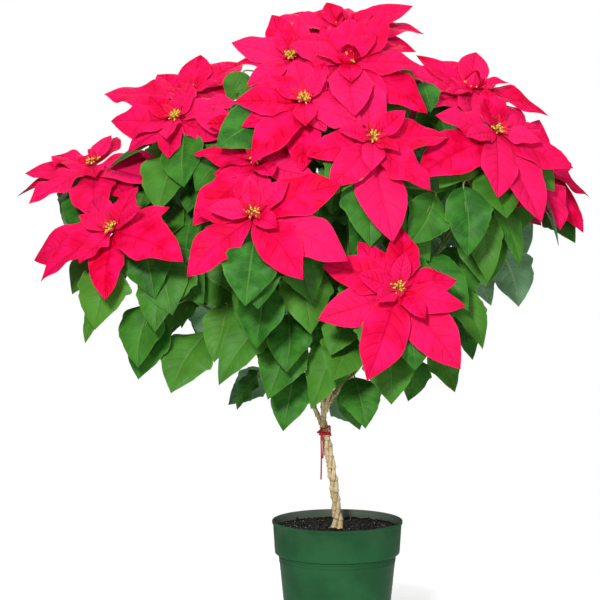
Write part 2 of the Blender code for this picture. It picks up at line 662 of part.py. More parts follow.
class Blade:
    """A leaf or a bract: a stalk from its root to the blade's base, then a bent midrib to the tip.

    Each station across it has three points: both edges, and the keel that its midrib makes underneath.
    A bract has no stalk, and its root is its base."""

    def __init__(self, root, base, tip, facing, half_width, outline, arch, keel):
        self.root, self.base, self.tip = root, base, tip
        self.facing = facing
        self.bend = (base + tip) / 2 + facing * arch * (tip - base).length
        self.half_width, self.outline, self.keel = half_width, outline, keel

    def midrib(self, t):
        return quadratic(self.base, self.bend, self.tip, t)

    def frame(self, t):
        """The way across the blade and its upward normal at a place along the midrib."""
        ahead = (self.bend - self.base) * (1 - t) + (self.tip - self.bend) * t
        across = ahead.cross(self.facing).normalized()
        return across, across.cross(ahead).normalized()

    def turn(self):
        """How sharply the blade bends down from its stalk."""
        stalk = self.base - self.root
        return stalk.angle(self.bend - self.base) if stalk.length > 0.0 else 0.0

    def station(self, t, half_width, depth):
        """Both edges and the keel at a place along the midrib. The first is mitred into the stalk's bend."""
        across, up = self.frame(t)
        if t == 0.0 and self.turn() > 0.0:
            stalk_up = across.cross(self.base - self.root).normalized()
            up = (up + stalk_up).normalized()
        middle = self.midrib(t)
        return [middle - across * half_width, middle + across * half_width, middle - up * depth]

    def rings(self, margin=0.0, start=0.0):
        """The stations from a start to near the tip. A margin makes the blade wider and thicker."""
        stations = [(0.0, STALK_WIDTH, STALK_DEPTH)]
        for t, share in self.outline:
            stations.append((t, self.half_width * share, self.keel * (1 - KEEL_TAPER * t)))
        for (t, width, depth), (end, end_width, end_depth) in zip(stations[:-1], stations[1:]):
            if t < start < end:
                mix = (start - t) / (end - t)
                mixed = (width + (end_width - width) * mix, depth + (end_depth - depth) * mix)
                stations.append((start, *mixed))
        stations = sorted(found for found in stations if found[0] >= start)
        return [self.station(t, width + margin, depth + margin) for t, width, depth in stations]

    def stalk_ring(self):
        """The sunk end of the stalk, turned as the blade's base is."""
        ahead = self.base - self.root
        across, _ = self.frame(0.0)
        across = (across - ahead * (across.dot(ahead) / ahead.length_squared)).normalized()
        up = across.cross(ahead).normalized()
        side = across * STALK_WIDTH
        return [self.root - side, self.root + side, self.root - up * STALK_DEPTH]

    def solid(self, rings, raised=0.0):
        """Points and triangles of the rings, closed at the first and drawn to the tip.

        The top may be raised, which gives each ring a fourth point, over its keel."""
        order = (0, 2, 1)
        if raised:
            rings = [ring + [(ring[0] + ring[1]) / 2 + self.facing * raised] for ring in rings]
            order = (0, 2, 1, 3)
        rings = [[ring[corner] for corner in order] for ring in rings]
        sides = len(order)
        verts = [point for ring in rings for point in ring] + [self.tip]
        faces = [tuple(range(sides))]
        last, tip = sides * (len(rings) - 1), len(verts) - 1
        for side in range(sides):
            after = (side + 1) % sides
            for a in range(0, last, sides):
                faces.append((a + side, a + sides + side, a + sides + after))
                faces.append((a + side, a + sides + after, a + after))
            faces.append((last + side, tip, last + after))
        return verts, faces

    def shape(self):
        """The whole blade, with its stalk where it has one."""
        stalk = [self.stalk_ring()] if (self.base - self.root).length > 0.0 else []
        return self.solid(stalk + self.rings())

    def crosses_itself(self):
        """Whether two triangles of the blade that share no corner meet, as they do in too tight a bend."""
        verts, faces = self.shape()
        tree = BVHTree.FromPolygons(verts, faces)
        return any(set(faces[a]).isdisjoint(faces[b]) for a, b in tree.overlap(tree))

    def mesh(self, name):
        return mesh_of(name, *self.shape())

    def guard(self, margin, start=0.0):
        """The room that the blade needs, stalk left out."""
        return self.solid(self.rings(margin, start), raised=margin)

    def stalk_guard(self, margin):
        """The room that the stalk needs, from just outside the wood to the blade's base."""
        along = (self.base - self.root).normalized()
        begin = self.root + along * (SHOOT_RADIUS + 3 * margin)
        across, _ = self.frame(0.0)
        up = across.cross(along).normalized()
        side, under, over = across * (STALK_WIDTH + margin), up * (STALK_DEPTH + margin), up * margin
        verts = []
        for place in (begin, self.base):
            verts += [place - side, place - under, place + side, place + over]
        faces = [(0, 1, 2, 3), (4, 7, 6, 5)]
        faces += [(side, (side + 1) % 4, 4 + (side + 1) % 4, 4 + side) for side in range(4)]
        return verts, faces


class Room:
    """What stands already, so that each new blade can be tried against it before it grows."""

    def __init__(self):
        self.taken = []

    def take(self, verts, faces, owner):
        low = Vector(min(v[i] for v in verts) for i in range(3))
        high = Vector(max(v[i] for v in verts) for i in range(3))
        self.taken.append((low, high, BVHTree.FromPolygons(verts, faces), owner))

    def take_mesh(self, mesh, owner):
        self.take([v.co.copy() for v in mesh.vertices], [tuple(p.vertices) for p in mesh.polygons], owner)

    def is_free(self, verts, faces, skip=(), only=None):
        low = [min(v[i] for v in verts) for i in range(3)]
        high = [max(v[i] for v in verts) for i in range(3)]
        tree = None
        for other_low, other_high, other, owner in self.taken:
            if owner in skip or (only is not None and owner not in only):
                continue
            if any(low[i] > other_high[i] or high[i] < other_low[i] for i in range(3)):
                continue
            tree = tree or BVHTree.FromPolygons(verts, faces)
            if tree.overlap(other):
                return False
        return True


# Blooms


def bloom_axes(bloom):
    """A bloom's own axes: to its right as seen from in front of it, up its face, and the way it faces."""
    turn, tilt = math.radians(bloom.turn), math.radians(bloom.tilt)
    facing = Vector((math.sin(turn) * math.cos(tilt), -math.cos(turn) * math.cos(tilt), math.sin(tilt)))
    right = Vector((0, 0, 1)).cross(facing).normalized()
    return right, facing.cross(right), facing


def bract(bloom, angle, length, rise, height, outline):
    """A bract from the whorl at this height on the hub, its tip bent down a little by its own weight."""
    right, up, facing = bloom_axes(bloom)
    way = right * math.cos(angle) + up * math.sin(angle)
    seat = Vector(bloom.place) - facing * (HUB_HEIGHT - height)
    chord = (way * math.cos(rise) + facing * math.sin(rise)).normalized()
    root = seat + way * HUB_RADIUS * SEAT_SHARE
    sag = Vector((0, 0, -BRACT_ARCH * length * max(0.0, facing.z)))
    tip = root + chord * (length + HUB_RADIUS) + sag
    lean = (tip - root).normalized()
    out = (facing - lean * facing.dot(lean)).normalized()
    share = BRACT_SHARE if length > SHORT_BRACT else SHORT_BRACT_SHARE
    return Blade(root, root, tip, out, share * length, outline, BRACT_ARCH, BRACT_KEEL)


def long_bracts(bloom, room):
    """The long bracts in their stated directions, each raised, lowered or turned a little until it is clear.

    Round the hub every second one grows from a higher whorl, so that neighbours don't touch."""
    around = sorted(bloom.bracts)
    made = []
    for angle, length in bloom.bracts:
        upper = around.index((angle, length)) % 2
        level = -10 + 12 * upper
        made.append(first_clear(room, bloom.name, [
            bract(bloom, math.radians(angle + turn), length * size, math.radians(level + rise),
                  LONG_WHORLS[upper], LONG_BRACT_OUTLINE)
            for size, turn, rise in product(*LONG_TRIES)
        ]))
    return [blade for blade in made if blade]


def short_bracts(bloom, room):
    """The short inner bracts, a golden angle apart and standing up more than the long ones."""
    draw = random.Random(bloom.name)
    start = draw.uniform(0, math.tau)
    made = []
    for number in range(bloom.short):
        length = 0.062 - 0.006 * number + draw.uniform(-0.004, 0.004)
        angle = start + number * GOLDEN_ANGLE
        made.append(first_clear(room, bloom.name, [
            bract(bloom, angle + math.radians(turn), length * size, math.radians(16 + 4 * number + rise),
                  SHORT_WHORLS[number % 2], SHORT_BRACT_OUTLINE)
            for size, turn, rise in product(*SHORT_TRIES)
        ]))
    return [blade for blade in made if blade]


def first_clear(room, owner, tries):
    """The first of these blades that clears all that stands, and its own bloom's blades outside the hub.

    Where none does, one may cross its neighbours in the crowded quarter next to the hub."""
    for crowded in CROWDED:
        for blade in tries:
            if not room.is_free(*blade.guard(SELF_CLEARANCE, start=crowded), only=(owner,)):
                continue
            if not room.is_free(*blade.guard(JOINT_GAP), only=("cups",)):
                continue
            if room.is_free(*blade.guard(CLEARANCE), skip=(owner, "cups")):
                room.take(*blade.shape(), owner)
                return blade
    return None


def hub_mesh(bloom):
    """The short red stub that the bracts spring from."""
    _, _, facing = bloom_axes(bloom)
    foot = Vector(bloom.place) - facing * HUB_HEIGHT
    return tube_mesh("hub", [foot, Vector(bloom.place)], [SHOOT_RADIUS, HUB_RADIUS])


def make_bloom(bloom, blades):
    parts = [hub_mesh(bloom)] + [blade.mesh("bract") for blade in blades]
    return fused("bloom_" + bloom.name, parts, "red_bract", "MANIFOLD")


def cups_mesh(bloom):
    """The cluster of small flower cups: one disc whose sectors are drawn up into cups, each with its rim."""
    right, up, facing = bloom_axes(bloom)
    centre = Vector(bloom.place) + facing * JOINT_GAP
    draw = random.Random("cups " + bloom.name)
    corners = []
    for number in range(CUPS):
        angle = math.tau * number / CUPS
        corners.append(centre + (right * math.cos(angle) + up * math.sin(angle)) * HUB_RADIUS)
    raised = [corner + facing * CUP_BASE for corner in corners]
    verts = [centre] + corners + raised + [centre + facing * CUP_PEAK]
    top = len(verts) - 1
    faces = []
    for number in range(CUPS):
        low, low_after = 1 + number, 1 + (number + 1) % CUPS
        high, high_after = low + CUPS, low_after + CUPS
        faces += [(0, low_after, low), (low, low_after, high_after, high)]
        foot = [high, high_after, top]
        middle = (verts[high] + verts[high_after] + verts[top]) / 3
        rise = facing * CUP_HEIGHT * draw.uniform(0.8, 1.15) + (middle - centre).normalized() * CUP_SPREAD
        rim = [len(verts) + side for side in range(3)]
        verts += [middle + (verts[corner] - middle) * CUP_TAPER + rise for corner in foot]
        faces += [(foot[side], foot[side - 2], rim[side - 2], rim[side]) for side in range(3)]
        faces.append(tuple(rim))
    return mesh_of("cups", verts, faces)


# Limbs, shoots and leaves


def fork_of(limb):
    """Where a limb's shoots part: a little of the way from its beginning to the middle of its blooms."""
    start = Vector(limb.start)
    middle = sum((Vector(BLOOMS[name].place) for name in limb.blooms), Vector()) / len(limb.blooms)
    way = middle - start
    return start + Vector((way.x * FORK_OUT, way.y * FORK_OUT, way.z * FORK_RISE))


def limb_path(limb):
    """A limb from its woody branch, which it meets square, to where its shoots part."""
    start, fork = Vector(limb.start), fork_of(limb)
    ahead = limb_direction(start)
    neck = start + ahead * STUB
    lead = neck + ahead * (fork - neck).length / 2
    return [start + ahead * JOINT_GAP, neck, quadratic(neck, lead, fork, 0.5), fork]


def shoot_path(limb, bloom):
    """A shoot from its limb's fork to the underside of its bloom, which it meets square."""
    fork = fork_of(limb)
    _, _, facing = bloom_axes(bloom)
    seat = Vector(bloom.place) - facing * (HUB_HEIGHT + JOINT_GAP)
    neck = seat - facing * STUB
    reach = (neck - fork).length
    ahead = (fork - Vector(limb.start)).normalized()
    lead = fork + (ahead + (neck - fork).normalized()) / 2 * reach * SHOOT_LEAD
    arrive = neck - (facing + Vector((0, 0, 0.6))).normalized() * reach * SHOOT_ARRIVE
    steps = [step / SHOOT_STEPS for step in range(SHOOT_STEPS + 1)]
    return [cubic(fork, lead, arrive, neck, step) for step in steps] + [seat]


def shoot_radii(count):
    slope = (SHOOT_TIP_RADIUS - SHOOT_RADIUS) / (count - 1)
    return [SHOOT_RADIUS + slope * step for step in range(count)]


def limb_meshes(limb):
    """The limb runs on into its first shoot, and its other shoots are joined to it at the fork."""
    paths = [shoot_path(limb, BLOOMS[name]) for name in limb.blooms]
    first = limb_path(limb)[:-1]
    radii = [LIMB_RADIUS] * len(first) + shoot_radii(len(paths[0]))
    parts = [tube_mesh("limb", first + paths[0], radii)]
    return parts + [tube_mesh("shoot", path, shoot_radii(len(path))) for path in paths[1:]]


def place_along(path, share):
    """The point and the direction at a share of a path's length."""
    lengths = [(b - a).length for a, b in zip(path, path[1:])]
    left = share * sum(lengths)
    for (a, b), length in zip(zip(path, path[1:]), lengths):
        if left <= length:
            return a + (b - a) * (left / length), (b - a).normalized()
        left -= length
    return path[-1].copy(), (path[-1] - path[-2]).normalized()


def leaf_blade(root, base, tip, half_width):
    """A leaf whose upper side faces along its stalk, away from the trunk and a little up."""
    drop = (tip - base).normalized()
    away = Vector((base.x - trunk_line(TRUNK_TOP).x, base.y, 0.0)).normalized()
    reach = Vector((base.x - root.x, base.y - root.y, 0.0)).normalized()
    out = (away + reach).normalized() + Vector((0, 0, 0.35))
    out = (out - drop * out.dot(drop)).normalized()
    return Blade(root, base, tip, out, half_width, LEAF_OUTLINE, LEAF_ARCH, LEAF_KEEL)


def leaf_is_free(blade, limb_name, room):
    """Whether a leaf bends no sharper than a stalk can, and clears all that stands."""
    shoots = limb_name + " shoots"
    return (
        blade.turn() < SHARPEST_TURN
        and not blade.crosses_itself()
        and room.is_free(*blade.guard(CLEARANCE), skip=(limb_name,))
        and room.is_free(*blade.guard(SELF_CLEARANCE), only=(limb_name, shoots))
        and room.is_free(*blade.stalk_guard(STALK_CLEARANCE), skip=(shoots,))
    )


def grow_front_leaf(leaf, paths, room):
    """A leaf at its stated place, or a little before or behind it, on the nearest shoot with a clear way."""
    for shift in FRONT_SHIFTS:
        base = Vector(leaf.base) + Vector((0, shift, 0))
        tip = Vector(leaf.tip) + Vector((0, shift, 0))
        roots = []
        for limb_name, path in paths:
            for step in range(4, 38):
                point, _ = place_along(path, step / 40)
                if point.z > base.z - LOWEST_ROOT and (point - base).length > SHORTEST_STALK:
                    roots.append(((point - base).length, limb_name, point))
        for _, limb_name, root in sorted(roots, key=lambda found: found[0])[:NEAREST_ROOTS]:
            blade = leaf_blade(root, base, tip, leaf.half_width)
            if leaf_is_free(blade, limb_name, room):
                room.take(*blade.shape(), limb_name)
                return limb_name, blade
    return None, None


def grow_leaves(limb, bloom, room):
    """The leaves that grow by rule on one shoot, a golden angle apart, each hanging from its stalk."""
    draw = random.Random("leaves " + bloom.name)
    path = shoot_path(limb, bloom)
    made = []
    for order in range(limb.leaves):
        share = LEAF_ZONE[1] - (LEAF_ZONE[1] - LEAF_ZONE[0]) * order / (limb.leaves - 1)
        root, ahead = place_along(path, share)
        angle = draw.uniform(-0.4, 0.4) + order * GOLDEN_ANGLE
        stalk = draw.uniform(*STALK_LENGTHS)
        length = draw.uniform(*LEAF_LENGTHS)
        droop = math.radians(draw.uniform(*LEAF_DROOPS))
        for size, turn, more in product(*LEAF_TRIES):
            blade = rule_leaf(root, ahead, angle + math.radians(turn), stalk, length * size,
                              droop + math.radians(more))
            if leaf_is_free(blade, limb.name, room):
                room.take(*blade.shape(), limb.name)
                made.append(blade)
                break
    return made


def rule_leaf(root, ahead, angle, stalk, length, droop):
    """A leaf whose stalk leaves the shoot at an angle round it, and whose blade droops from its end."""
    sideways = ahead.cross(Vector((0, 0, 1))).normalized()
    upward = sideways.cross(ahead)
    out = (sideways * math.cos(angle) + upward * math.sin(angle) + ahead / 2).normalized()
    base = root + out * stalk
    level = Vector((out.x, out.y, 0.0)).normalized()
    tip = base + (level * math.cos(droop) - Vector((0, 0, math.sin(droop)))) * length
    return leaf_blade(root, base, tip, LEAF_SHARE * length)


def make_plant():
    """Grows all the blooms, then the front leaves, then the leaves by rule, and joins each node's pieces."""
    room = Room()
    wood = {limb.name: limb_meshes(limb) for limb in LIMBS}
    for limb in LIMBS:
        for mesh in wood[limb.name]:
            room.take_mesh(mesh, limb.name + " shoots")
    for node in [o for o in bpy.context.scene.objects if o.name.startswith("stem_")]:
        room.take_mesh(node.data, "wood")
    for bloom in BLOOMS.values():
        room.take_mesh(cups_mesh(bloom), "cups")
    bracts = {bloom.name: long_bracts(bloom, room) for bloom in BLOOMS.values()}
    for bloom in BLOOMS.values():
        bracts[bloom.name] += short_bracts(bloom, room)
    paths = [(limb.name, shoot_path(limb, BLOOMS[name])) for limb in LIMBS for name in limb.blooms]
    paths += [(limb.name, limb_path(limb)) for limb in LIMBS]
    leaves = {limb.name: [] for limb in LIMBS}
    for leaf in FRONT_LEAVES:
        limb_name, blade = grow_front_leaf(leaf, paths, room)
        if blade:
            leaves[limb_name].append(blade)
    for limb in LIMBS:
        for name in limb.blooms:
            leaves[limb.name] += grow_leaves(limb, BLOOMS[name], room)
    for bloom in BLOOMS.values():
        make_bloom(bloom, bracts[bloom.name])
        add_object("cups_" + bloom.name, cups_mesh(bloom), "yellow_cup")
    for limb in LIMBS:
        grown = wood[limb.name] + [blade.mesh("leaf") for blade in leaves[limb.name]]
        fused(limb.name, grown, "green_leaf", "MANIFOLD")


def main():
    clear_scene()
    make_pot()
    make_soil()
    make_stems()
    make_tie()
    for name, length, across in TIE_ENDS:
        make_tie_end(name, length, across)
    make_plant()


main()
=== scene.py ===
"""The looks of a poinsettia grown as a small tree in a green nursery pot.

Each bract and leaf grows here by the same rules, sizes and seeds as its plain solid, so the fine blade lies
where the solid does. Further bracts and leaves then fill the head. Metres, +Z up, and -Y is the front.
"""

import logging
import math
import random
from collections.abc import Iterable, Mapping, Sequence
from dataclasses import dataclass, field
from enum import Enum
from functools import lru_cache
from itertools import product
from typing import Any

import bmesh
import bpy
import numpy as np
from mathutils import Matrix, Vector, noise
from mathutils.bvhtree import BVHTree

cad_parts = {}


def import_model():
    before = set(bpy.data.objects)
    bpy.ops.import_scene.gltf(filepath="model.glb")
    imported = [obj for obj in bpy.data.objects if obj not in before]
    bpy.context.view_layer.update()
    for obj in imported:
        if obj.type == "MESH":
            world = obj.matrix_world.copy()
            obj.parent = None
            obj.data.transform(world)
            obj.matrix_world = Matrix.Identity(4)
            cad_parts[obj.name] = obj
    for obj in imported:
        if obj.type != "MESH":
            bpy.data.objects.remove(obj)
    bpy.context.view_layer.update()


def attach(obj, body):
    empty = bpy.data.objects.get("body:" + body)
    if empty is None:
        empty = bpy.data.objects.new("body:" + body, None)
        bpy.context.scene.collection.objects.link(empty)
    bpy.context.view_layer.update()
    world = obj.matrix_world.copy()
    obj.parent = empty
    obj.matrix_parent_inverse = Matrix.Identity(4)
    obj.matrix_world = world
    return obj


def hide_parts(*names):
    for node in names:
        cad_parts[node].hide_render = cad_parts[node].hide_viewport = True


log = logging.getLogger("poinsettia")

Triangles = tuple[list[Vector], list[tuple[int, ...]]]
Stations = tuple[tuple[float, float], ...]
Rod = tuple[list[Vector], list[float]]

# Sizes shared with the solids, in metres: the trunk and its three stems
SOIL_TOP = 0.178
TRUNK_TOP = 0.350
TRUNK_LEAN = 0.0245
LEAN_POWER = 1.6
TWIST_PITCH = 0.087
ROOT_END = 0.128
ROOT_RISE = 0.002
STEM_RADIUS = 0.0033
STEM_FLARE = 0.0011
FLARE_HEIGHT = 0.030
STEM_GAP = 0.0007
STEM_STEP = 0.0100
# Branches, limbs and shoots. Shares are of the distance that each spans
BRANCH_RADIUS = 0.0031
BRANCH_STEPS = 3
BRANCH_OUT = 0.15
BRANCH_LIFT = 0.45
BRANCH_ARRIVE = 0.30
TUBE_SIDES = 6
LIMB_RADIUS = 0.0030
SHOOT_RADIUS = 0.0027
SHOOT_TIP_RADIUS = 0.0022
SHOOT_STEPS = 3
STUB = 0.006
JOINT_GAP = 0.0003
FORK_OUT = 0.22
FORK_RISE = 0.16
SHOOT_LEAD = 0.38
SHOOT_ARRIVE = 0.30
# The blooms' hubs, with the heights that bracts spring from, and their flower cups
HUB_RADIUS = 0.0056
HUB_HEIGHT = 0.0130
LONG_WHORLS = (0.0024, 0.0056)
LONG_RISES = (-10, 2)
SHORT_WHORLS = (0.0080, 0.0104)
SEAT_SHARE = 0.35
CUPS = 5
CUP_BASE = 0.0016
CUP_PEAK = 0.0022
CUP_HEIGHT = 0.0050
CUP_SPREAD = 0.0016
CUP_TAPER = 0.62
# Blades: stalk, keel, arch, and half width as a share of the length
STALK_WIDTH = 0.0014
STALK_DEPTH = 0.0024
LEAF_KEEL = 0.0024
BRACT_KEEL = 0.0022
KEEL_TAPER = 0.4
LEAF_ARCH = 0.13
BRACT_ARCH = 0.10
LEAF_SHARE = 0.38
BRACT_SHARE = 0.26
SHORT_BRACT_SHARE = 0.29
SHORT_BRACT = 0.070
GOLDEN_ANGLE = math.radians(137.508)
# How far a blade keeps from others, and where on its own bloom it may touch them in turn
SHARPEST_TURN = math.radians(118)
CLEARANCE = 0.0016
SELF_CLEARANCE = 0.0006
STALK_CLEARANCE = 0.0008
CROWDED = (0.12, 0.30)
# Leaves that grow by rule: where on the shoot, and the least and most of their sizes
LEAF_ZONE = (0.28, 0.90)
STALK_LENGTHS = (0.034, 0.048)
LEAF_LENGTHS = (0.092, 0.112)
LEAF_DROOPS = (52, 76)
LOWEST_ROOT = 0.030
SHORTEST_STALK = 0.012
NEAREST_ROOTS = 24
PATH_STEPS = 40
ROOT_STEPS = range(4, 38)

# What a blade tries, in turn, until it is clear of the others: its size, its turn and its rise in degrees
LONG_TRIES = ((1.0, 0.88, 0.75), (0, 7, -7, 13, -13), (0, 6, -6, 12, -12, 18, -18, 24))
SHORT_TRIES = ((1.0, 0.85, 0.7), (0, 12, -12, 24, -24), (0, 6, 12, -5, 18, 26))
LEAF_TRIES = ((1.0, 0.85, 0.7), (0, 25, -25, 50, -50, 80, -80, 115, -115, 180), (0, -16, 10, -32))
# Blooms that keep the gaps between their long bracts, and blooms whose cups are still covered
OPEN_BLOOMS = ("low_front", "middle_front", "left_front", "far_left", "upper_left", "centre", "right_front")
CLOSED_BLOOMS = ("crown", "crown_front", "high_right")
# The middling bracts that fill such gaps elsewhere
FILL_LEAST = 0.060
FILL_GAP = math.radians(38)
FILL_LENGTHS = (0.66, 0.86)
FILL_RISES = (-26, -18, -10, 6, 14, -34)
FILL_WHORL = 0.0010
FILL_CROWDED = (0.30, 0.50)
FILL_TRIES = ((1.0, 0.85, 0.7, 0.58), (0, 10, -10))
# The further leaves on each shoot: a collar under the bloom, and more below
COLLAR_LEAVES = 4
COLLAR_ZONE = (0.80, 0.97)
MORE_LEAVES = 5
# What a fine blade keeps of its own movement and size, in turn, and from where it may not cross others
EASES = ((1.0, 1.0), (0.6, 1.0), (0.3, 1.0), (0.0, 1.0), (0.0, 0.9), (0.0, 0.8), (0.0, 0.7))
FREE_FROM = 0.2
# Where the light came from, how much of the way there a leaf rolls, and the most that it can
WINDOW = (-0.15, -1.0, 0.35)
WINDOW_SHARE = 0.72
MOST_ROLL = math.radians(40)
# How far behind or before its stated place a leaf may stand, in turn
FRONT_SHIFTS = (0.0, -0.012, 0.014, -0.024, 0.028, 0.042, -0.036, 0.056, 0.070)

# A blade's outline: how far along it each station lies, and its share of the greatest half width there
LEAF_OUTLINE: Stations = ((0.12, 0.80), (0.36, 1.00), (0.56, 0.64), (0.68, 0.62))
LONG_BRACT_OUTLINE: Stations = ((0.20, 0.50), (0.46, 1.00), (0.72, 0.60))
SHORT_BRACT_OUTLINE: Stations = ((0.28, 0.72), (0.62, 0.88))


@dataclass(frozen=True)
class Bloom:
    """A bloom: its cups' place, its turn from the front and tilt above level in degrees, and its bracts."""

    name: str
    place: tuple[float, float, float]
    turn: float
    tilt: float
    bracts: tuple[tuple[float, float], ...]
    short: int

    def axes(self) -> tuple[Vector, Vector, Vector]:
        """Finds the bloom's own directions.

        Returns:
            To its right as seen from in front of it, up its face, and the way it faces.
        """
        turn, tilt = math.radians(self.turn), math.radians(self.tilt)
        level = math.cos(tilt)
        facing = Vector((math.sin(turn) * level, -math.cos(turn) * level, math.sin(tilt)))
        right = Vector((0, 0, 1)).cross(facing).normalized()
        return right, facing.cross(right), facing


@dataclass(frozen=True)
class Limb:
    """A green limb: the twisted stem that carries it, its beginning, its blooms and its leaves on a shoot."""

    name: str
    stem: int
    start: tuple[float, float, float]
    blooms: tuple[str, ...]
    leaves: int


@dataclass(frozen=True)
class Leaf:
    """A leaf with a stated place: where its blade begins, where its tip hangs, and its half width.

    Its upper side faces away from the trunk, or where it is stated.
    """

    base: tuple[float, float, float]
    tip: tuple[float, float, float]
    half_width: float
    facing: tuple[float, float, float] | None = None


# Each bloom: the place of its flower cups, how far it turns from the front (+ is towards +X) and tilts
# above level, in degrees, its long bracts as (angle in its own plane, length), and how many short ones
BLOOMS: dict[str, Bloom] = {
    bloom.name: bloom
    for bloom in (
        Bloom("low_front", (0.082, -0.280, 0.571), 8, 25,
              ((82, 0.094), (-53, 0.132), (158, 0.108), (-112, 0.135), (14, 0.086), (-163, 0.114),
               (-15, 0.090), (122, 0.088)), 4),
        Bloom("middle_front", (-0.124, -0.290, 0.678), -12, 35,
              ((26, 0.126), (-51, 0.120), (-136, 0.118), (-20, 0.142), (172, 0.082), (95, 0.086)), 4),
        Bloom("behind_middle", (-0.121, -0.205, 0.752), -15, 40,
              ((-130, 0.120), (-14, 0.086), (165, 0.100), (60, 0.084)), 2),
        Bloom("left_front", (-0.334, -0.180, 0.652), -30, 38,
              ((-167, 0.142), (-77, 0.102), (-15, 0.136), (-141, 0.122), (37, 0.084), (138, 0.090),
               (88, 0.084)), 3),
        Bloom("far_left", (-0.376, 0.000, 0.746), -30, 60,
              ((-160, 0.128), (-58, 0.140), (-120, 0.110), (-12, 0.138), (38, 0.100), (100, 0.096),
               (160, 0.100)), 2),
        Bloom("upper_left", (-0.245, -0.080, 0.815), -28, 42,
              ((178, 0.112), (-150, 0.084), (-77, 0.070), (-13, 0.090), (28, 0.094), (100, 0.084)), 3),
        Bloom("high_left", (-0.232, 0.050, 0.856), -20, 58,
              ((173, 0.146), (66, 0.122), (28, 0.102), (-32, 0.094), (-100, 0.096), (125, 0.094)), 2),
        Bloom("small_left", (-0.136, -0.150, 0.803), -12, 42,
              ((164, 0.082), (-100, 0.060), (-20, 0.062), (60, 0.066)), 2),
        Bloom("high_front", (-0.052, -0.190, 0.839), -8, 40,
              ((-124, 0.118), (-88, 0.110), (155, 0.088), (58, 0.086), (-22, 0.090), (-163, 0.090),
               (105, 0.084)), 3),
        Bloom("centre", (0.047, -0.220, 0.784), 10, 35,
              ((-83, 0.142), (-46, 0.104), (-132, 0.100), (-168, 0.120), (12, 0.116), (86, 0.108),
               (136, 0.086)), 4),
        Bloom("crown_left", (-0.070, -0.070, 0.906), -15, 44,
              ((148, 0.088), (-172, 0.078), (-132, 0.088), (94, 0.086), (-28, 0.098), (-80, 0.096),
               (45, 0.090)), 2),
        Bloom("crown_front", (0.014, -0.125, 0.899), 6, 44,
              ((-34, 0.130), (-92, 0.122), (135, 0.098), (34, 0.106), (-140, 0.104), (84, 0.096),
               (0, 0.108)), 3),
        Bloom("crown", (0.008, 0.020, 0.954), 4, 58,
              ((7, 0.124), (139, 0.096), (-161, 0.132), (80, 0.084), (-44, 0.122), (-100, 0.112)), 3),
        Bloom("right_front", (0.235, -0.130, 0.794), 26, 38,
              ((-110, 0.114), (-160, 0.148), (-78, 0.140), (-30, 0.116), (158, 0.094), (15, 0.090),
               (82, 0.086)), 3),
        Bloom("high_right", (0.206, 0.020, 0.864), 25, 56,
              ((-27, 0.120), (-64, 0.140), (100, 0.090), (-156, 0.118), (162, 0.112), (30, 0.094),
               (-110, 0.100)), 2),
        Bloom("far_right", (0.302, -0.010, 0.752), 50, 42,
              ((-37, 0.106), (-76, 0.122), (-110, 0.126), (-145, 0.116), (22, 0.096), (84, 0.092)), 3),
        Bloom("back_left", (-0.270, 0.190, 0.690), -125, 40,
              ((-90, 0.124), (-20, 0.110), (50, 0.100), (120, 0.096), (-160, 0.116)), 3),
        Bloom("back_low", (-0.130, 0.295, 0.640), -165, 34,
              ((-95, 0.128), (-30, 0.116), (35, 0.100), (105, 0.092), (-155, 0.118)), 3),
        Bloom("back_middle", (0.085, 0.300, 0.668), 168, 34,
              ((-80, 0.130), (-15, 0.114), (60, 0.098), (130, 0.100), (-145, 0.120)), 3),
        Bloom("back_right", (0.250, 0.185, 0.712), 125, 40,
              ((-85, 0.126), (-20, 0.114), (45, 0.098), (115, 0.096), (-150, 0.116)), 3),
        Bloom("high_back", (-0.100, 0.185, 0.838), -155, 56,
              ((-90, 0.120), (-25, 0.110), (50, 0.104), (125, 0.100), (-160, 0.112)), 3),
        Bloom("high_back_right", (0.120, 0.165, 0.850), 145, 56,
              ((-90, 0.120), (-20, 0.112), (55, 0.100), (125, 0.100), (-155, 0.114)), 3),
    )
}

# Each limb: the twisted stem that it grows from, where its green wood begins, the blooms at its shoots'
# tips, and how many leaves grow by rule on each shoot
LIMBS: tuple[Limb, ...] = (
    Limb("limb_left_front", 0, (-0.072, -0.030, 0.410), ("left_front", "small_left"), 4),
    Limb("limb_left", 0, (-0.082, 0.010, 0.425), ("far_left", "upper_left"), 5),
    Limb("limb_left_back", 0, (-0.066, 0.044, 0.415), ("back_left", "high_left"), 4),
    Limb("limb_front", 1, (-0.040, -0.056, 0.420),
         ("middle_front", "behind_middle", "high_front", "crown_left"), 2),
    Limb("limb_front_right", 1, (0.000, -0.052, 0.425), ("low_front", "centre", "crown_front"), 3),
    Limb("limb_right", 1, (0.024, -0.020, 0.420), ("right_front", "far_right", "high_right"), 3),
    Limb("limb_back_right", 2, (0.020, 0.034, 0.415), ("back_right", "back_middle", "high_back_right"), 3),
    Limb("limb_back", 2, (-0.022, 0.056, 0.420), ("back_low", "high_back", "crown"), 3),
)

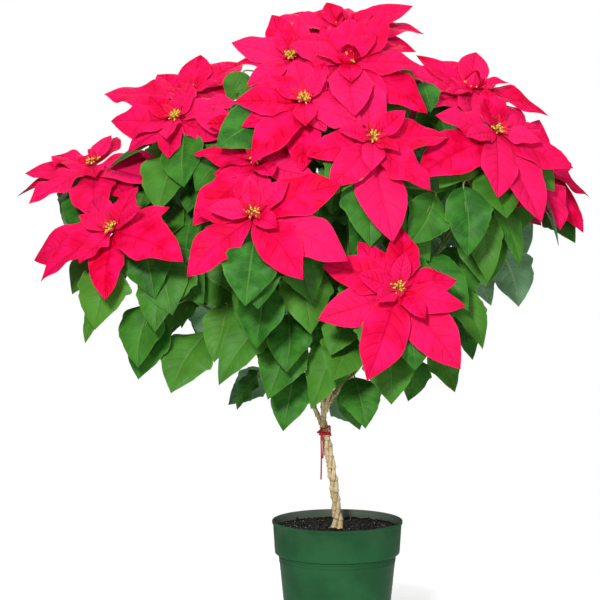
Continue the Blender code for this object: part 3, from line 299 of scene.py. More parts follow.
# The leaves that show at the front, as (where the blade begins, where its tip hangs, its half width)
FRONT_LEAVES: tuple[Leaf, ...] = (
    Leaf((-0.058, -0.215, 0.600), (-0.043, -0.232, 0.500), 0.038),
    Leaf((-0.118, -0.190, 0.616), (-0.152, -0.212, 0.524), 0.031),
    Leaf((-0.100, -0.150, 0.530), (-0.178, -0.176, 0.420), 0.032),
    Leaf((-0.166, -0.130, 0.535), (-0.186, -0.160, 0.452), 0.029),
    Leaf((-0.070, -0.160, 0.497), (-0.104, -0.188, 0.400), 0.038),
    Leaf((-0.064, -0.110, 0.440), (-0.084, -0.135, 0.346), 0.033),
    Leaf((0.006, -0.165, 0.492), (-0.040, -0.190, 0.386), 0.036),
    Leaf((0.024, -0.110, 0.425), (0.040, -0.145, 0.352), 0.031),
    Leaf((0.010, -0.040, 0.400), (0.034, -0.030, 0.335), 0.022),
    Leaf((-0.118, -0.020, 0.428), (-0.158, -0.014, 0.364), 0.027),
    Leaf((-0.268, -0.170, 0.590), (-0.268, -0.196, 0.500), 0.030),
    Leaf((-0.222, -0.160, 0.606), (-0.252, -0.184, 0.530), 0.028),
    Leaf((-0.276, -0.110, 0.535), (-0.300, -0.130, 0.440), 0.026),
    Leaf((-0.342, -0.140, 0.560), (-0.374, -0.160, 0.480), 0.018),
    Leaf((0.010, -0.200, 0.750), (-0.014, -0.222, 0.672), 0.030),
    Leaf((0.052, -0.170, 0.700), (0.016, -0.200, 0.610), 0.033),
    Leaf((0.140, -0.190, 0.700), (0.098, -0.214, 0.628), 0.032),
    Leaf((0.180, -0.180, 0.712), (0.186, -0.210, 0.610), 0.033),
    Leaf((0.208, -0.130, 0.680), (0.218, -0.150, 0.568), 0.026),
    Leaf((0.232, -0.110, 0.700), (0.270, -0.120, 0.590), 0.020),
    Leaf((0.118, -0.150, 0.612), (0.190, -0.180, 0.530), 0.026),
    Leaf((0.170, -0.120, 0.560), (0.216, -0.140, 0.470), 0.024),
    Leaf((0.106, -0.160, 0.470), (0.100, -0.190, 0.398), 0.026),
    Leaf((0.140, -0.110, 0.470), (0.172, -0.130, 0.404), 0.024),
    Leaf((-0.210, -0.080, 0.740), (-0.226, -0.110, 0.670), 0.028),
    Leaf((-0.190, -0.100, 0.800), (-0.176, -0.130, 0.730), 0.027),
    Leaf((-0.222, -0.060, 0.790), (-0.196, -0.090, 0.726), 0.026),
    Leaf((-0.258, -0.050, 0.752), (-0.302, -0.070, 0.712), 0.024),
    Leaf((-0.284, -0.040, 0.740), (-0.306, -0.070, 0.664), 0.028),
    Leaf((-0.166, -0.060, 0.748), (-0.150, -0.095, 0.676), 0.028),
    Leaf((0.300, -0.060, 0.700), (0.330, -0.080, 0.620), 0.024),
)

# Further leaves of the looks: two that show their pale undersides behind the fork, and some in open gaps
FURTHER_LEAVES: tuple[Leaf, ...] = (
    Leaf((-0.109, 0.060, 0.416), (-0.171, 0.066, 0.361), 0.025, (0.1, 1.0, 0.3)),
    Leaf((-0.008, 0.054, 0.378), (0.037, 0.066, 0.331), 0.022, (-0.1, 1.0, 0.3)),
    Leaf((-0.146, 0.030, 0.884), (-0.166, 0.012, 0.836), 0.024, (-0.2, -1.0, 0.5)),
    Leaf((-0.128, 0.010, 0.862), (-0.172, -0.012, 0.846), 0.018, (0.0, -0.8, 1.0)),
    Leaf((-0.332, -0.020, 0.724), (-0.348, -0.044, 0.664), 0.024, (-0.2, -1.0, 0.5)),
    Leaf((-0.372, 0.000, 0.690), (-0.392, -0.012, 0.630), 0.020, (-0.5, -1.0, 0.4)),
    Leaf((0.128, -0.020, 0.866), (0.138, -0.046, 0.820), 0.020, (0.2, -1.0, 0.5)),
)

# Further long bracts of the looks, for each bloom as (angle in its own plane, length, rise)
FURTHER_BRACTS: dict[str, tuple[tuple[float, float, float], ...]] = {
    "crown": ((22, 0.118, 16), (112, 0.090, 4), (172, 0.108, 8), (-20, 0.110, 6)),
    "crown_left": ((168, 0.094, 10), (120, 0.090, 8)),
    "high_right": ((-6, 0.110, 4),),
    "far_left": ((-175, 0.118, 4), (-32, 0.112, 4)),
    "far_right": ((-58, 0.124, -6), (0, 0.100, 4)),
}


def cubic(a: Vector, b: Vector, c: Vector, d: Vector, t: float) -> Vector:
    """The point at t on the cubic curve of these four points."""
    s = 1 - t
    return a * s**3 + b * (3 * s * s * t) + c * (3 * s * t * t) + d * t**3


def quadratic(a: Vector, b: Vector, c: Vector, t: float) -> Vector:
    """The point at t on the quadratic curve of these three points."""
    s = 1 - t
    return a * s * s + b * (2 * s * t) + c * t * t


def trunk_line(height: float) -> Vector:
    """The line that the three stems twist round: upright in the soil, then leaning to the left."""
    rise = max(0.0, (height - SOIL_TOP) / (TRUNK_TOP - SOIL_TOP))
    return Vector((-TRUNK_LEAN * rise**LEAN_POWER, 0.0, height))


def stem_radius(height: float) -> float:
    """A stem's radius at a height: thicker where it leaves the soil."""
    near = max(0.0, 1.0 - max(0.0, height - SOIL_TOP) / FLARE_HEIGHT)
    return STEM_RADIUS + STEM_FLARE * near


def stem_point(number: int, height: float) -> Vector:
    """The middle of one of the three stems at a height. Its twist ends where it enters the soil.

    Args:
        number: the stem's number, from 0.
        height: where on it.

    Returns:
        The point.
    """
    below = TRUNK_TOP - max(height, SOIL_TOP + ROOT_RISE)
    turn = math.tau * (number / 3 + 0.5 - below / TWIST_PITCH)
    away = (2 * stem_radius(height) + STEM_GAP) / math.sqrt(3)
    return trunk_line(height) + Vector((away * math.cos(turn), away * math.sin(turn), 0.0))


def stem_line(number: int) -> tuple[list[Vector], list[float]]:
    """A stem's points and radii from its root's end to the top of the trunk.

    Args:
        number: the stem's number.

    Returns:
        The points, and the radius at each.
    """
    begin = SOIL_TOP + ROOT_RISE
    count = math.ceil((TRUNK_TOP - begin) / STEM_STEP)
    heights = [ROOT_END, SOIL_TOP - ROOT_RISE]
    heights += [begin + (TRUNK_TOP - begin) * step / count for step in range(count + 1)]
    return [stem_point(number, height) for height in heights], [stem_radius(height) for height in heights]


def branch_path(number: int, target: Vector) -> list[Vector]:
    """A woody branch from the top of a twisted stem to where its limb turns green.

    Args:
        number: the stem's number.
        target: where the limb begins.

    Returns:
        The branch's points.
    """
    top = stem_point(number, TRUNK_TOP)
    outward = (top - trunk_line(TRUNK_TOP)).normalized()
    reach = (target - top).length
    lead = top + (outward * BRANCH_OUT + Vector((0, 0, BRANCH_LIFT))) * reach
    ahead = limb_direction(target)
    arrive = target - ahead * reach * BRANCH_ARRIVE
    neck = target - ahead * STUB
    steps = [step / BRANCH_STEPS for step in range(BRANCH_STEPS + 1)]
    return [cubic(top, lead, arrive, neck, step) for step in steps] + [target]


def limb_direction(start: Vector) -> Vector:
    """The way a limb points where it begins: away from the top of the trunk."""
    return (start - trunk_line(TRUNK_TOP)).normalized()


def fork_of(limb: Limb) -> Vector:
    """Where a limb's shoots part: a little of the way from its beginning to the middle of its blooms.

    Args:
        limb: the limb.

    Returns:
        The point.
    """
    start = Vector(limb.start)
    middle = sum((Vector(BLOOMS[name].place) for name in limb.blooms), Vector()) / len(limb.blooms)
    way = middle - start
    return start + Vector((way.x * FORK_OUT, way.y * FORK_OUT, way.z * FORK_RISE))


def limb_path(limb: Limb) -> list[Vector]:
    """A limb from its woody branch, which it meets square, to where its shoots part.

    Args:
        limb: the limb.

    Returns:
        Its points.
    """
    start, fork = Vector(limb.start), fork_of(limb)
    ahead = limb_direction(start)
    neck = start + ahead * STUB
    lead = neck + ahead * (fork - neck).length / 2
    return [start + ahead * JOINT_GAP, neck, quadratic(neck, lead, fork, 0.5), fork]


def shoot_path(limb: Limb, bloom: Bloom) -> list[Vector]:
    """A shoot from its limb's fork to the underside of its bloom, which it meets square.

    Args:
        limb: the limb.
        bloom: the bloom that it carries.

    Returns:
        The shoot's points.
    """
    fork = fork_of(limb)
    _, _, facing = bloom.axes()
    seat = Vector(bloom.place) - facing * (HUB_HEIGHT + JOINT_GAP)
    neck = seat - facing * STUB
    reach = (neck - fork).length
    ahead = (fork - Vector(limb.start)).normalized()
    lead = fork + (ahead + (neck - fork).normalized()) / 2 * reach * SHOOT_LEAD
    arrive = neck - (facing + Vector((0, 0, 0.6))).normalized() * reach * SHOOT_ARRIVE
    steps = [step / SHOOT_STEPS for step in range(SHOOT_STEPS + 1)]
    return [cubic(fork, lead, arrive, neck, step) for step in steps] + [seat]


def shoot_radii(count: int) -> list[float]:
    """The radii of a shoot with this many points, thinner towards its tip."""
    slope = (SHOOT_TIP_RADIUS - SHOOT_RADIUS) / (count - 1)
    return [SHOOT_RADIUS + slope * step for step in range(count)]


def limb_rods(limb: Limb) -> list[Rod]:
    """A limb's rods: the first runs on into its first shoot, and the others are its other shoots.

    Args:
        limb: the limb.

    Returns:
        The points and radii of each rod.
    """
    paths = [shoot_path(limb, BLOOMS[name]) for name in limb.blooms]
    first = limb_path(limb)[:-1]
    rods = [(first + paths[0], [LIMB_RADIUS] * len(first) + shoot_radii(len(paths[0])))]
    return rods + [(path, shoot_radii(len(path))) for path in paths[1:]]


def stem_rods(number: int) -> list[Rod]:
    """A stem's rods: the first runs on into its first branch, and the others are its other branches.

    Args:
        number: the stem's number.

    Returns:
        The points and radii of each rod.
    """
    points, radii = stem_line(number)
    branches = [branch_path(number, Vector(limb.start)) for limb in LIMBS if limb.stem == number]
    rods = [(points + branches[0][1:], radii + [BRANCH_RADIUS] * (len(branches[0]) - 1))]
    return rods + [(path, [BRANCH_RADIUS] * len(path)) for path in branches[1:]]


def place_along(path: Sequence[Vector], share: float) -> tuple[Vector, Vector]:
    """Finds a place on a path.

    Args:
        path: the path's points.
        share: how far along its length the place lies, from 0 to 1.

    Returns:
        The point there, and the path's direction.
    """
    lengths = [(b - a).length for a, b in zip(path, path[1:])]
    left = share * sum(lengths)
    for (a, b), length in zip(zip(path, path[1:]), lengths):
        if left <= length:
            return a + (b - a) * (left / length), (b - a).normalized()
        left -= length
    return path[-1].copy(), (path[-1] - path[-2]).normalized()


def plain_tube(points: Sequence[Vector], radii: Sequence[float]) -> Triangles:
    """The plain round rod of a solid, which blades keep clear of.

    Args:
        points: the rod's line.
        radii: its radius at each point.

    Returns:
        Its points and faces.
    """
    curve = bpy.data.curves.new("rod", "CURVE")
    curve.dimensions = "3D"
    curve.bevel_depth = 1.0
    curve.bevel_resolution = (TUBE_SIDES - 4) // 2
    curve.use_fill_caps = True
    spline = curve.splines.new("POLY")
    spline.points.add(len(points) - 1)
    for place, point, radius in zip(spline.points, points, radii):
        place.co = (*point, 1.0)
        place.radius = radius
    rod = bpy.data.objects.new("rod", curve)
    bpy.context.scene.collection.objects.link(rod)
    mesh = bpy.data.meshes.new_from_object(rod)
    verts, faces = [v.co.copy() for v in mesh.vertices], [tuple(p.vertices) for p in mesh.polygons]
    bpy.data.objects.remove(rod)
    bpy.data.curves.remove(curve)
    bpy.data.meshes.remove(mesh)
    return verts, faces


def plain_cups(bloom: Bloom) -> Triangles:
    """The plain flower cups of a solid: a disc whose sectors are drawn up into cups, each with its rim.

    Args:
        bloom: the bloom.

    Returns:
        The cups' points and faces.
    """
    right, up, facing = bloom.axes()
    centre = Vector(bloom.place) + facing * JOINT_GAP
    draw = random.Random("cups " + bloom.name)
    corners = []
    for number in range(CUPS):
        angle = math.tau * number / CUPS
        corners.append(centre + (right * math.cos(angle) + up * math.sin(angle)) * HUB_RADIUS)
    raised = [corner + facing * CUP_BASE for corner in corners]
    verts = [centre] + corners + raised + [centre + facing * CUP_PEAK]
    top = len(verts) - 1
    faces: list[tuple[int, ...]] = []
    for number in range(CUPS):
        low, low_after = 1 + number, 1 + (number + 1) % CUPS
        high, high_after = low + CUPS, low_after + CUPS
        faces += [(0, low_after, low), (low, low_after, high_after, high)]
        foot = [high, high_after, top]
        middle = (verts[high] + verts[high_after] + verts[top]) / 3
        rise = facing * CUP_HEIGHT * draw.uniform(0.8, 1.15) + (middle - centre).normalized() * CUP_SPREAD
        rim = [len(verts) + side for side in range(3)]
        verts += [middle + (verts[corner] - middle) * CUP_TAPER + rise for corner in foot]
        faces += [(foot[side], foot[side - 2], rim[side - 2], rim[side]) for side in range(3)]
        faces.append(tuple(rim))
    return verts, faces


@dataclass
class Blade:
    """A leaf or a bract: a stalk from its root to the blade's base, then a bent midrib to the tip.

    A bract has no stalk, and its root is its base. Its plain solid has three points at each station: both
    edges, and the keel that its midrib makes underneath.
    """

    root: Vector
    base: Vector
    tip: Vector
    facing: Vector
    half_width: float
    outline: Stations
    arch: float
    keel: float
    bend: Vector = field(init=False)

    def __post_init__(self) -> None:
        """Finds the middle point of the midrib's curve."""
        self.bend = (self.base + self.tip) / 2 + self.facing * self.arch * (self.tip - self.base).length

    def frame(self, t: float) -> tuple[Vector, Vector]:
        """Finds the blade's directions at a place.

        Args:
            t: how far along the midrib, from 0 to 1.

        Returns:
            The way across, and the normal.
        """
        ahead = (self.bend - self.base) * (1 - t) + (self.tip - self.bend) * t
        across = ahead.cross(self.facing).normalized()
        return across, across.cross(ahead).normalized()

    def turn(self) -> float:
        """How sharply the blade bends down from its stalk."""
        stalk = self.base - self.root
        return stalk.angle(self.bend - self.base) if stalk.length > 0.0 else 0.0

    def station(self, t: float, half_width: float, depth: float) -> list[Vector]:
        """Both edges and the keel at a place along the midrib. The first is mitred into the stalk's bend.

        Args:
            t: how far along the midrib, from 0 to 1.
            half_width: how far out the edges lie.
            depth: how far under the midrib the keel lies.

        Returns:
            The left edge, the right edge and the keel.
        """
        across, up = self.frame(t)
        if t == 0.0 and self.turn() > 0.0:
            stalk_up = across.cross(self.base - self.root).normalized()
            up = (up + stalk_up).normalized()
        middle = quadratic(self.base, self.bend, self.tip, t)
        return [middle - across * half_width, middle + across * half_width, middle - up * depth]

    def rings(self, margin: float = 0.0, start: float = 0.0) -> list[list[Vector]]:
        """The plain solid's stations.

        Args:
            margin: how much wider and thicker they are made.
            start: how far along the blade they begin.

        Returns:
            The points of each station, from the start to near the tip.
        """
        stations = [(0.0, STALK_WIDTH, STALK_DEPTH)]
        for t, share in self.outline:
            stations.append((t, self.half_width * share, self.keel * (1 - KEEL_TAPER * t)))
        for (t, width, depth), (end, end_width, end_depth) in zip(stations[:-1], stations[1:]):
            if t < start < end:
                mix = (start - t) / (end - t)
                mixed = (width + (end_width - width) * mix, depth + (end_depth - depth) * mix)
                stations.append((start, *mixed))
        stations = sorted(found for found in stations if found[0] >= start)
        return [self.station(t, width + margin, depth + margin) for t, width, depth in stations]

    def stalk_ring(self) -> list[Vector]:
        """The sunk end of the stalk, turned as the blade's base is.

        Returns:
            Its left edge, right edge and keel.
        """
        ahead = self.base - self.root
        across, _ = self.frame(0.0)
        across = (across - ahead * (across.dot(ahead) / ahead.length_squared)).normalized()
        up = across.cross(ahead).normalized()
        side = across * STALK_WIDTH
        return [self.root - side, self.root + side, self.root - up * STALK_DEPTH]

    def solid(self, rings: list[list[Vector]], raised: float = 0.0) -> Triangles:
        """Closes rings into a body, drawn to the tip.

        Args:
            rings: the points of each station.
            raised: how far the top is raised, which gives each ring a fourth point, over its keel.

        Returns:
            The body's points and faces.
        """
        order = (0, 2, 1)
        if raised:
            rings = [ring + [(ring[0] + ring[1]) / 2 + self.facing * raised] for ring in rings]
            order = (0, 2, 1, 3)
        rings = [[ring[corner] for corner in order] for ring in rings]
        sides = len(order)
        verts = [point for ring in rings for point in ring] + [self.tip]
        faces: list[tuple[int, ...]] = [tuple(range(sides))]
        last, tip = sides * (len(rings) - 1), len(verts) - 1
        for side in range(sides):
            after = (side + 1) % sides
            for a in range(0, last, sides):
                faces.append((a + side, a + sides + side, a + sides + after))
                faces.append((a + side, a + sides + after, a + after))
            faces.append((last + side, tip, last + after))
        return verts, faces

    def shape(self) -> Triangles:
        """The whole plain blade, with its stalk where it has one."""
        stalk = [self.stalk_ring()] if (self.base - self.root).length > 0.0 else []
        return self.solid(stalk + self.rings())

    def crosses_itself(self) -> bool:
        """Whether two triangles of the blade that share no corner meet, as they do in too tight a bend.

        Returns:
            Whether any do.
        """
        verts, faces = self.shape()
        tree = BVHTree.FromPolygons(verts, faces)
        return any(set(faces[a]).isdisjoint(faces[b]) for a, b in tree.overlap(tree))

    def guard(self, margin: float, start: float = 0.0) -> Triangles:
        """The room that the blade needs, stalk left out."""
        return self.solid(self.rings(margin, start), raised=margin)

    def stalk_guard(self, margin: float) -> Triangles:
        """The room that the stalk needs, from just outside the wood to the blade's base.

        Args:
            margin: how much wider and thicker than the stalk.

        Returns:
            The points and faces.
        """
        along = (self.base - self.root).normalized()
        begin = self.root + along * (SHOOT_RADIUS + 3 * margin)
        across, _ = self.frame(0.0)
        up = across.cross(along).normalized()
        side, under, over = across * (STALK_WIDTH + margin), up * (STALK_DEPTH + margin), up * margin
        verts: list[Vector] = []
        for place in (begin, self.base):
            verts += [place - side, place - under, place + side, place + over]
        faces: list[tuple[int, ...]] = [(0, 1, 2, 3), (4, 7, 6, 5)]
        faces += [(side, (side + 1) % 4, 4 + (side + 1) % 4, 4 + side) for side in range(4)]
        return verts, faces


class Room:
    """What stands already, so that each new blade can be tried against it before it grows."""

    def __init__(self) -> None:
        """Starts with nothing standing."""
        self.taken: list[tuple[Vector, Vector, BVHTree, str]] = []

    def take(self, form: Triangles, owner: str) -> None:
        """Adds a form that stands, under its owner's name.

        Args:
            form: its points and faces.
            owner: the name.
        """
        verts, faces = form
        low = Vector(min(v[i] for v in verts) for i in range(3))
        high = Vector(max(v[i] for v in verts) for i in range(3))
        self.taken.append((low, high, BVHTree.FromPolygons(verts, faces), owner))

    def is_free(self, form: Triangles, skip: Iterable[str] = (), only: Iterable[str] | None = None) -> bool:
        """Tries a form against what stands.

        Args:
            form: the points and faces of what would grow.
            skip: owners whose forms it may cross.
            only: where given, the only owners that it is tried against.

        Returns:
            Whether it touches none of them.
        """
        verts, faces = form
        low = [min(v[i] for v in verts) for i in range(3)]
        high = [max(v[i] for v in verts) for i in range(3)]
        tree = None
        for other_low, other_high, other, owner in self.taken:
            if owner in skip or (only is not None and owner not in only):
                continue
            if any(low[i] > other_high[i] or high[i] < other_low[i] for i in range(3)):
                continue
            tree = tree or BVHTree.FromPolygons(verts, faces)
            if tree.overlap(other):
                return False
        return True


def leaf_blade(
    root: Vector, base: Vector, tip: Vector, half_width: float, facing: Vector | None = None
) -> Blade:
    """A leaf whose upper side faces along its stalk, away from the trunk and a little up, or as stated.

    Args:
        root: where its stalk begins.
        base: where its blade begins.
        tip: where it ends.
        half_width: its greatest half width.
        facing: where its upper side faces, if that is stated.

    Returns:
        The leaf.
    """
    drop = (tip - base).normalized()
    away = Vector((base.x - trunk_line(TRUNK_TOP).x, base.y, 0.0)).normalized()
    reach = Vector((base.x - root.x, base.y - root.y, 0.0)).normalized()
    out = facing or (away + reach).normalized() + Vector((0, 0, 0.35))
    out = (out - drop * out.dot(drop)).normalized()
    return Blade(root, base, tip, out, half_width, LEAF_OUTLINE, LEAF_ARCH, LEAF_KEEL)


def rule_leaf(root: Vector, ahead: Vector, angle: float, stalk: float, length: float, droop: float) -> Blade:
    """A leaf whose stalk leaves the shoot at an angle round it, and whose blade droops from its end.

    Args:
        root: where the stalk begins.
        ahead: the shoot's direction there.
        angle: how far round the shoot the stalk stands.
        stalk: the stalk's length.
        length: the blade's length.
        droop: how steeply the blade hangs.

    Returns:
        The leaf.
    """
    sideways = ahead.cross(Vector((0, 0, 1))).normalized()
    upward = sideways.cross(ahead)
    out = (sideways * math.cos(angle) + upward * math.sin(angle) + ahead / 2).normalized()
    base = root + out * stalk
    level = Vector((out.x, out.y, 0.0)).normalized()
    tip = base + (level * math.cos(droop) - Vector((0, 0, math.sin(droop)))) * length
    return leaf_blade(root, base, tip, LEAF_SHARE * length)


def bract(bloom: Bloom, angle: float, length: float, rise: float, height: float, outline: Stations) -> Blade:
    """A bract from a whorl on the hub, its tip bent down a little by its own weight.

    Args:
        bloom: the bloom that it belongs to.
        angle: its direction in the bloom's plane.
        length: how far it reaches from the hub.
        rise: how far it stands up from that plane.
        height: the whorl's height on the hub.
        outline: the outline of its plain solid.

    Returns:
        The bract.
    """
    right, up, facing = bloom.axes()
    way = right * math.cos(angle) + up * math.sin(angle)
    seat = Vector(bloom.place) - facing * (HUB_HEIGHT - height)
    chord = (way * math.cos(rise) + facing * math.sin(rise)).normalized()
    root = seat + way * HUB_RADIUS * SEAT_SHARE
    sag = Vector((0, 0, -BRACT_ARCH * length * max(0.0, facing.z)))
    tip = root + chord * (length + HUB_RADIUS) + sag
    lean = (tip - root).normalized()
    out = (facing - lean * facing.dot(lean)).normalized()
    share = BRACT_SHARE if length > SHORT_BRACT else SHORT_BRACT_SHARE
    return Blade(root, root, tip, out, share * length, outline, BRACT_ARCH, BRACT_KEEL)


class Growth:
    """Grows the plant's bracts and leaves as the solids grew, and then the further ones of the looks."""

    def __init__(self) -> None:
        """Starts with the wood and the flower cups, which no blade may cross."""
        self.room = Room()
        self.bracts: dict[str, list[Blade]] = {name: [] for name in BLOOMS}
        self.leaves: dict[str, list[Blade]] = {limb.name: [] for limb in LIMBS}
        self.paths = [(limb.name, shoot_path(limb, BLOOMS[name])) for limb in LIMBS for name in limb.blooms]
        self.paths += [(limb.name, limb_path(limb)) for limb in LIMBS]
        for limb in LIMBS:
            for points, radii in limb_rods(limb):
                self.room.take(plain_tube(points, radii), limb.name + " shoots")
        for number in range(3):
            for points, radii in stem_rods(number):
                self.room.take(plain_tube(points, radii), "wood")
        for bloom in BLOOMS.values():
            self.room.take(plain_cups(bloom), "cups")

    def grow_bract(
        self, bloom: Bloom, whorl: float, outline: Stations, tries: Iterable[tuple[float, float, float]],
        crowded: Sequence[float] = CROWDED,
    ) -> None:
        """Grows the first bract that clears all that stands, and its own bloom's blades outside the hub.

        Args:
            bloom: the bloom.
            whorl: the height on the hub that it springs from.
            outline: the outline of its plain solid.
            tries: the directions, lengths and rises to try, the wished ones first.
            crowded: how far out from the hub it may cross its own bloom's others, in turn.
        """
        blades = [bract(bloom, angle, length, rise, whorl, outline) for angle, length, rise in tries]
        for start, blade in product(crowded, blades):
            if (
                self.room.is_free(blade.guard(SELF_CLEARANCE, start), only=(bloom.name,))
                and self.room.is_free(blade.guard(JOINT_GAP), only=("cups",))
                and self.room.is_free(blade.guard(CLEARANCE), skip=(bloom.name, "cups"))
            ):
                self.room.take(blade.shape(), bloom.name)
                self.bracts[bloom.name].append(blade)
                return

    def grow_long_bracts(self, bloom: Bloom) -> None:
        """Grows the long bracts in their stated directions, from two whorls in turn round the hub.

        Args:
            bloom: the bloom.
        """
        around = sorted(bloom.bracts)
        for angle, length in bloom.bracts:
            upper = around.index((angle, length)) % 2
            level = LONG_RISES[upper]
            self.grow_bract(bloom, LONG_WHORLS[upper], LONG_BRACT_OUTLINE, (
                (math.radians(angle + turn), length * size, math.radians(level + rise))
                for size, turn, rise in product(*LONG_TRIES)))

    def grow_short_bracts(self, bloom: Bloom) -> None:
        """Grows the short inner bracts, a golden angle apart and standing up more than the long ones.

        Args:
            bloom: the bloom.
        """
        draw = random.Random(bloom.name)
        start = draw.uniform(0, math.tau)
        for number in range(bloom.short):
            length = 0.062 - 0.006 * number + draw.uniform(-0.004, 0.004)
            angle = start + number * GOLDEN_ANGLE
            level = 16 + 4 * number
            self.grow_bract(bloom, SHORT_WHORLS[number % 2], SHORT_BRACT_OUTLINE, (
                (angle + math.radians(turn), length * size, math.radians(level + rise))
                for size, turn, rise in product(*SHORT_TRIES)))

    def leaf_is_free(self, blade: Blade, limb_name: str) -> bool:
        """Whether a leaf bends no sharper than a stalk can, and clears all that stands.

        Args:
            blade: the leaf.
            limb_name: its limb.

        Returns:
            Whether it can grow.
        """
        shoots = limb_name + " shoots"
        return (
            blade.turn() < SHARPEST_TURN
            and not blade.crosses_itself()
            and self.room.is_free(blade.guard(CLEARANCE), skip=(limb_name,))
            and self.room.is_free(blade.guard(SELF_CLEARANCE), only=(limb_name, shoots))
            and self.room.is_free(blade.stalk_guard(STALK_CLEARANCE), skip=(shoots,))
        )

    def keep_leaf(self, blade: Blade, limb_name: str) -> None:
        """Adds a leaf to its limb and to what stands."""
        self.room.take(blade.shape(), limb_name)
        self.leaves[limb_name].append(blade)

    def grow_stated_leaf(self, leaf: Leaf) -> None:
        """Grows a leaf at its stated place, or near it, on the nearest shoot with a clear way.

        Args:
            leaf: the leaf's place.
        """
        facing = Vector(leaf.facing) if leaf.facing else None
        for shift in FRONT_SHIFTS:
            base = Vector(leaf.base) + Vector((0, shift, 0))
            tip = Vector(leaf.tip) + Vector((0, shift, 0))
            roots = []
            for limb_name, path in self.paths:
                for step in ROOT_STEPS:
                    point, _ = place_along(path, step / PATH_STEPS)
                    if point.z > base.z - LOWEST_ROOT and (point - base).length > SHORTEST_STALK:
                        roots.append(((point - base).length, limb_name, point))
            for _, limb_name, root in sorted(roots, key=lambda found: found[0])[:NEAREST_ROOTS]:
                blade = leaf_blade(root, base, tip, leaf.half_width, facing)
                if self.leaf_is_free(blade, limb_name):
                    self.keep_leaf(blade, limb_name)
                    return

    def grow_leaves(self, kind: str, zone: tuple[float, float], count: int = 0) -> None:
        """Grows leaves by rule on each shoot, a golden angle apart.

        Args:
            kind: what the random draws start from, with the bloom's name.
            zone: the lowest and highest share of the shoot that carries them.
            count: how many leaves are tried on each shoot, or 0 for the limb's own number.
        """
        for limb in LIMBS:
            for name in limb.blooms:
                self.grow_shoot_leaves(limb, BLOOMS[name], f"{kind} {name}", count or limb.leaves, zone)

    def grow_shoot_leaves(
        self, limb: Limb, bloom: Bloom, seed: str, count: int, zone: tuple[float, float]
    ) -> None:
        """Grows the leaves of one shoot, each hanging from its stalk.

        Args:
            limb: the limb.
            bloom: the bloom at the shoot's tip.
            seed: what the random draws start from.
            count: how many leaves are tried.
            zone: the lowest and highest share of the shoot that carries them.
        """
        draw = random.Random(seed)
        path = shoot_path(limb, bloom)
        for order in range(count):
            share = zone[1] - (zone[1] - zone[0]) * order / (count - 1)
            root, ahead = place_along(path, share)
            angle = draw.uniform(-0.4, 0.4) + order * GOLDEN_ANGLE
            stalk = draw.uniform(*STALK_LENGTHS)
            length = draw.uniform(*LEAF_LENGTHS)
            droop = math.radians(draw.uniform(*LEAF_DROOPS))
            for size, turn, more in product(*LEAF_TRIES):
                blade = rule_leaf(root, ahead, angle + math.radians(turn), stalk, length * size,
                                  droop + math.radians(more))
                if self.leaf_is_free(blade, limb.name):
                    self.keep_leaf(blade, limb.name)
                    break

    def fill_bloom(self, bloom: Bloom) -> None:
        """Grows middling bracts in the wide gaps between a bloom's long ones, from a whorl just under them.

        Args:
            bloom: the bloom.
        """
        draw = random.Random("fill " + bloom.name)
        right, up, _ = bloom.axes()
        angles = []
        for blade in self.bracts[bloom.name]:
            way = blade.tip - Vector(bloom.place)
            if way.length > FILL_LEAST:
                angles.append(math.atan2(way.dot(up), way.dot(right)) % math.tau)
        angles.sort()
        longest = max(length for _, length in bloom.bracts)
        for angle, after in zip(angles, angles[1:] + [angles[0] + math.tau]):
            wide = after - angle
            count = min(2, int(wide / FILL_GAP))
            for number in range(count):
                middle = angle + wide * (number + 1) / (count + 1) + draw.uniform(-0.12, 0.12)
                length = longest * draw.uniform(*FILL_LENGTHS)
                rises = draw.sample(FILL_RISES, len(FILL_RISES))
                self.grow_bract(bloom, FILL_WHORL, LONG_BRACT_OUTLINE, (
                    (middle + math.radians(turn), length * size, math.radians(rise))
                    for size, turn, rise in product(*FILL_TRIES, rises)), FILL_CROWDED)

    def fill(self) -> None:
        """The further bracts and leaves that make the head as full as it is, all smaller or half hidden."""
        for name, bracts in FURTHER_BRACTS.items():
            for angle, length, level in bracts:
                self.grow_bract(BLOOMS[name], FILL_WHORL, LONG_BRACT_OUTLINE, (
                    (math.radians(angle + turn), length * size, math.radians(level + rise))
                    for size, turn, rise in product(*LONG_TRIES)), FILL_CROWDED)
        for leaf in FURTHER_LEAVES:
            self.grow_stated_leaf(leaf)
        for bloom in BLOOMS.values():
            if bloom.name not in OPEN_BLOOMS:
                self.fill_bloom(bloom)
        self.grow_leaves("collar", COLLAR_ZONE, COLLAR_LEAVES)
        self.grow_leaves("more leaves", LEAF_ZONE, MORE_LEAVES)

    def grow(self) -> None:
        """All that the solids have, in the order in which they grew."""
        for bloom in BLOOMS.values():
            self.grow_long_bracts(bloom)
        for bloom in BLOOMS.values():
            self.grow_short_bracts(bloom)
        for leaf in FRONT_LEAVES:
            self.grow_stated_leaf(leaf)
        self.grow_leaves("leaves", LEAF_ZONE)


# Looks


class Slot(Enum):
    """The slots of the pieces' finishes, by name."""

    POT = "pot_plastic"
    SOIL = "potting_soil"
    WOOD = "woody_stem"
    TIE = "red_tie"
    LEAF = "green_leaf"
    BRACT = "red_bract"
    CUP = "yellow_cup"


def linear(colour: str) -> tuple[float, float, float, float]:
    """An sRGB hex colour as linear light, with an alpha of one.

    Args:
        colour: the colour, as #rrggbb.

    Returns:
        Its red, green, blue and alpha.
    """
    shares = [int(colour[i : i + 2], 16) / 255 for i in (1, 3, 5)]
    light = [c / 12.92 if c <= 0.04045 else ((c + 0.055) / 1.055) ** 2.4 for c in shares]
    return light[0], light[1], light[2], 1.0


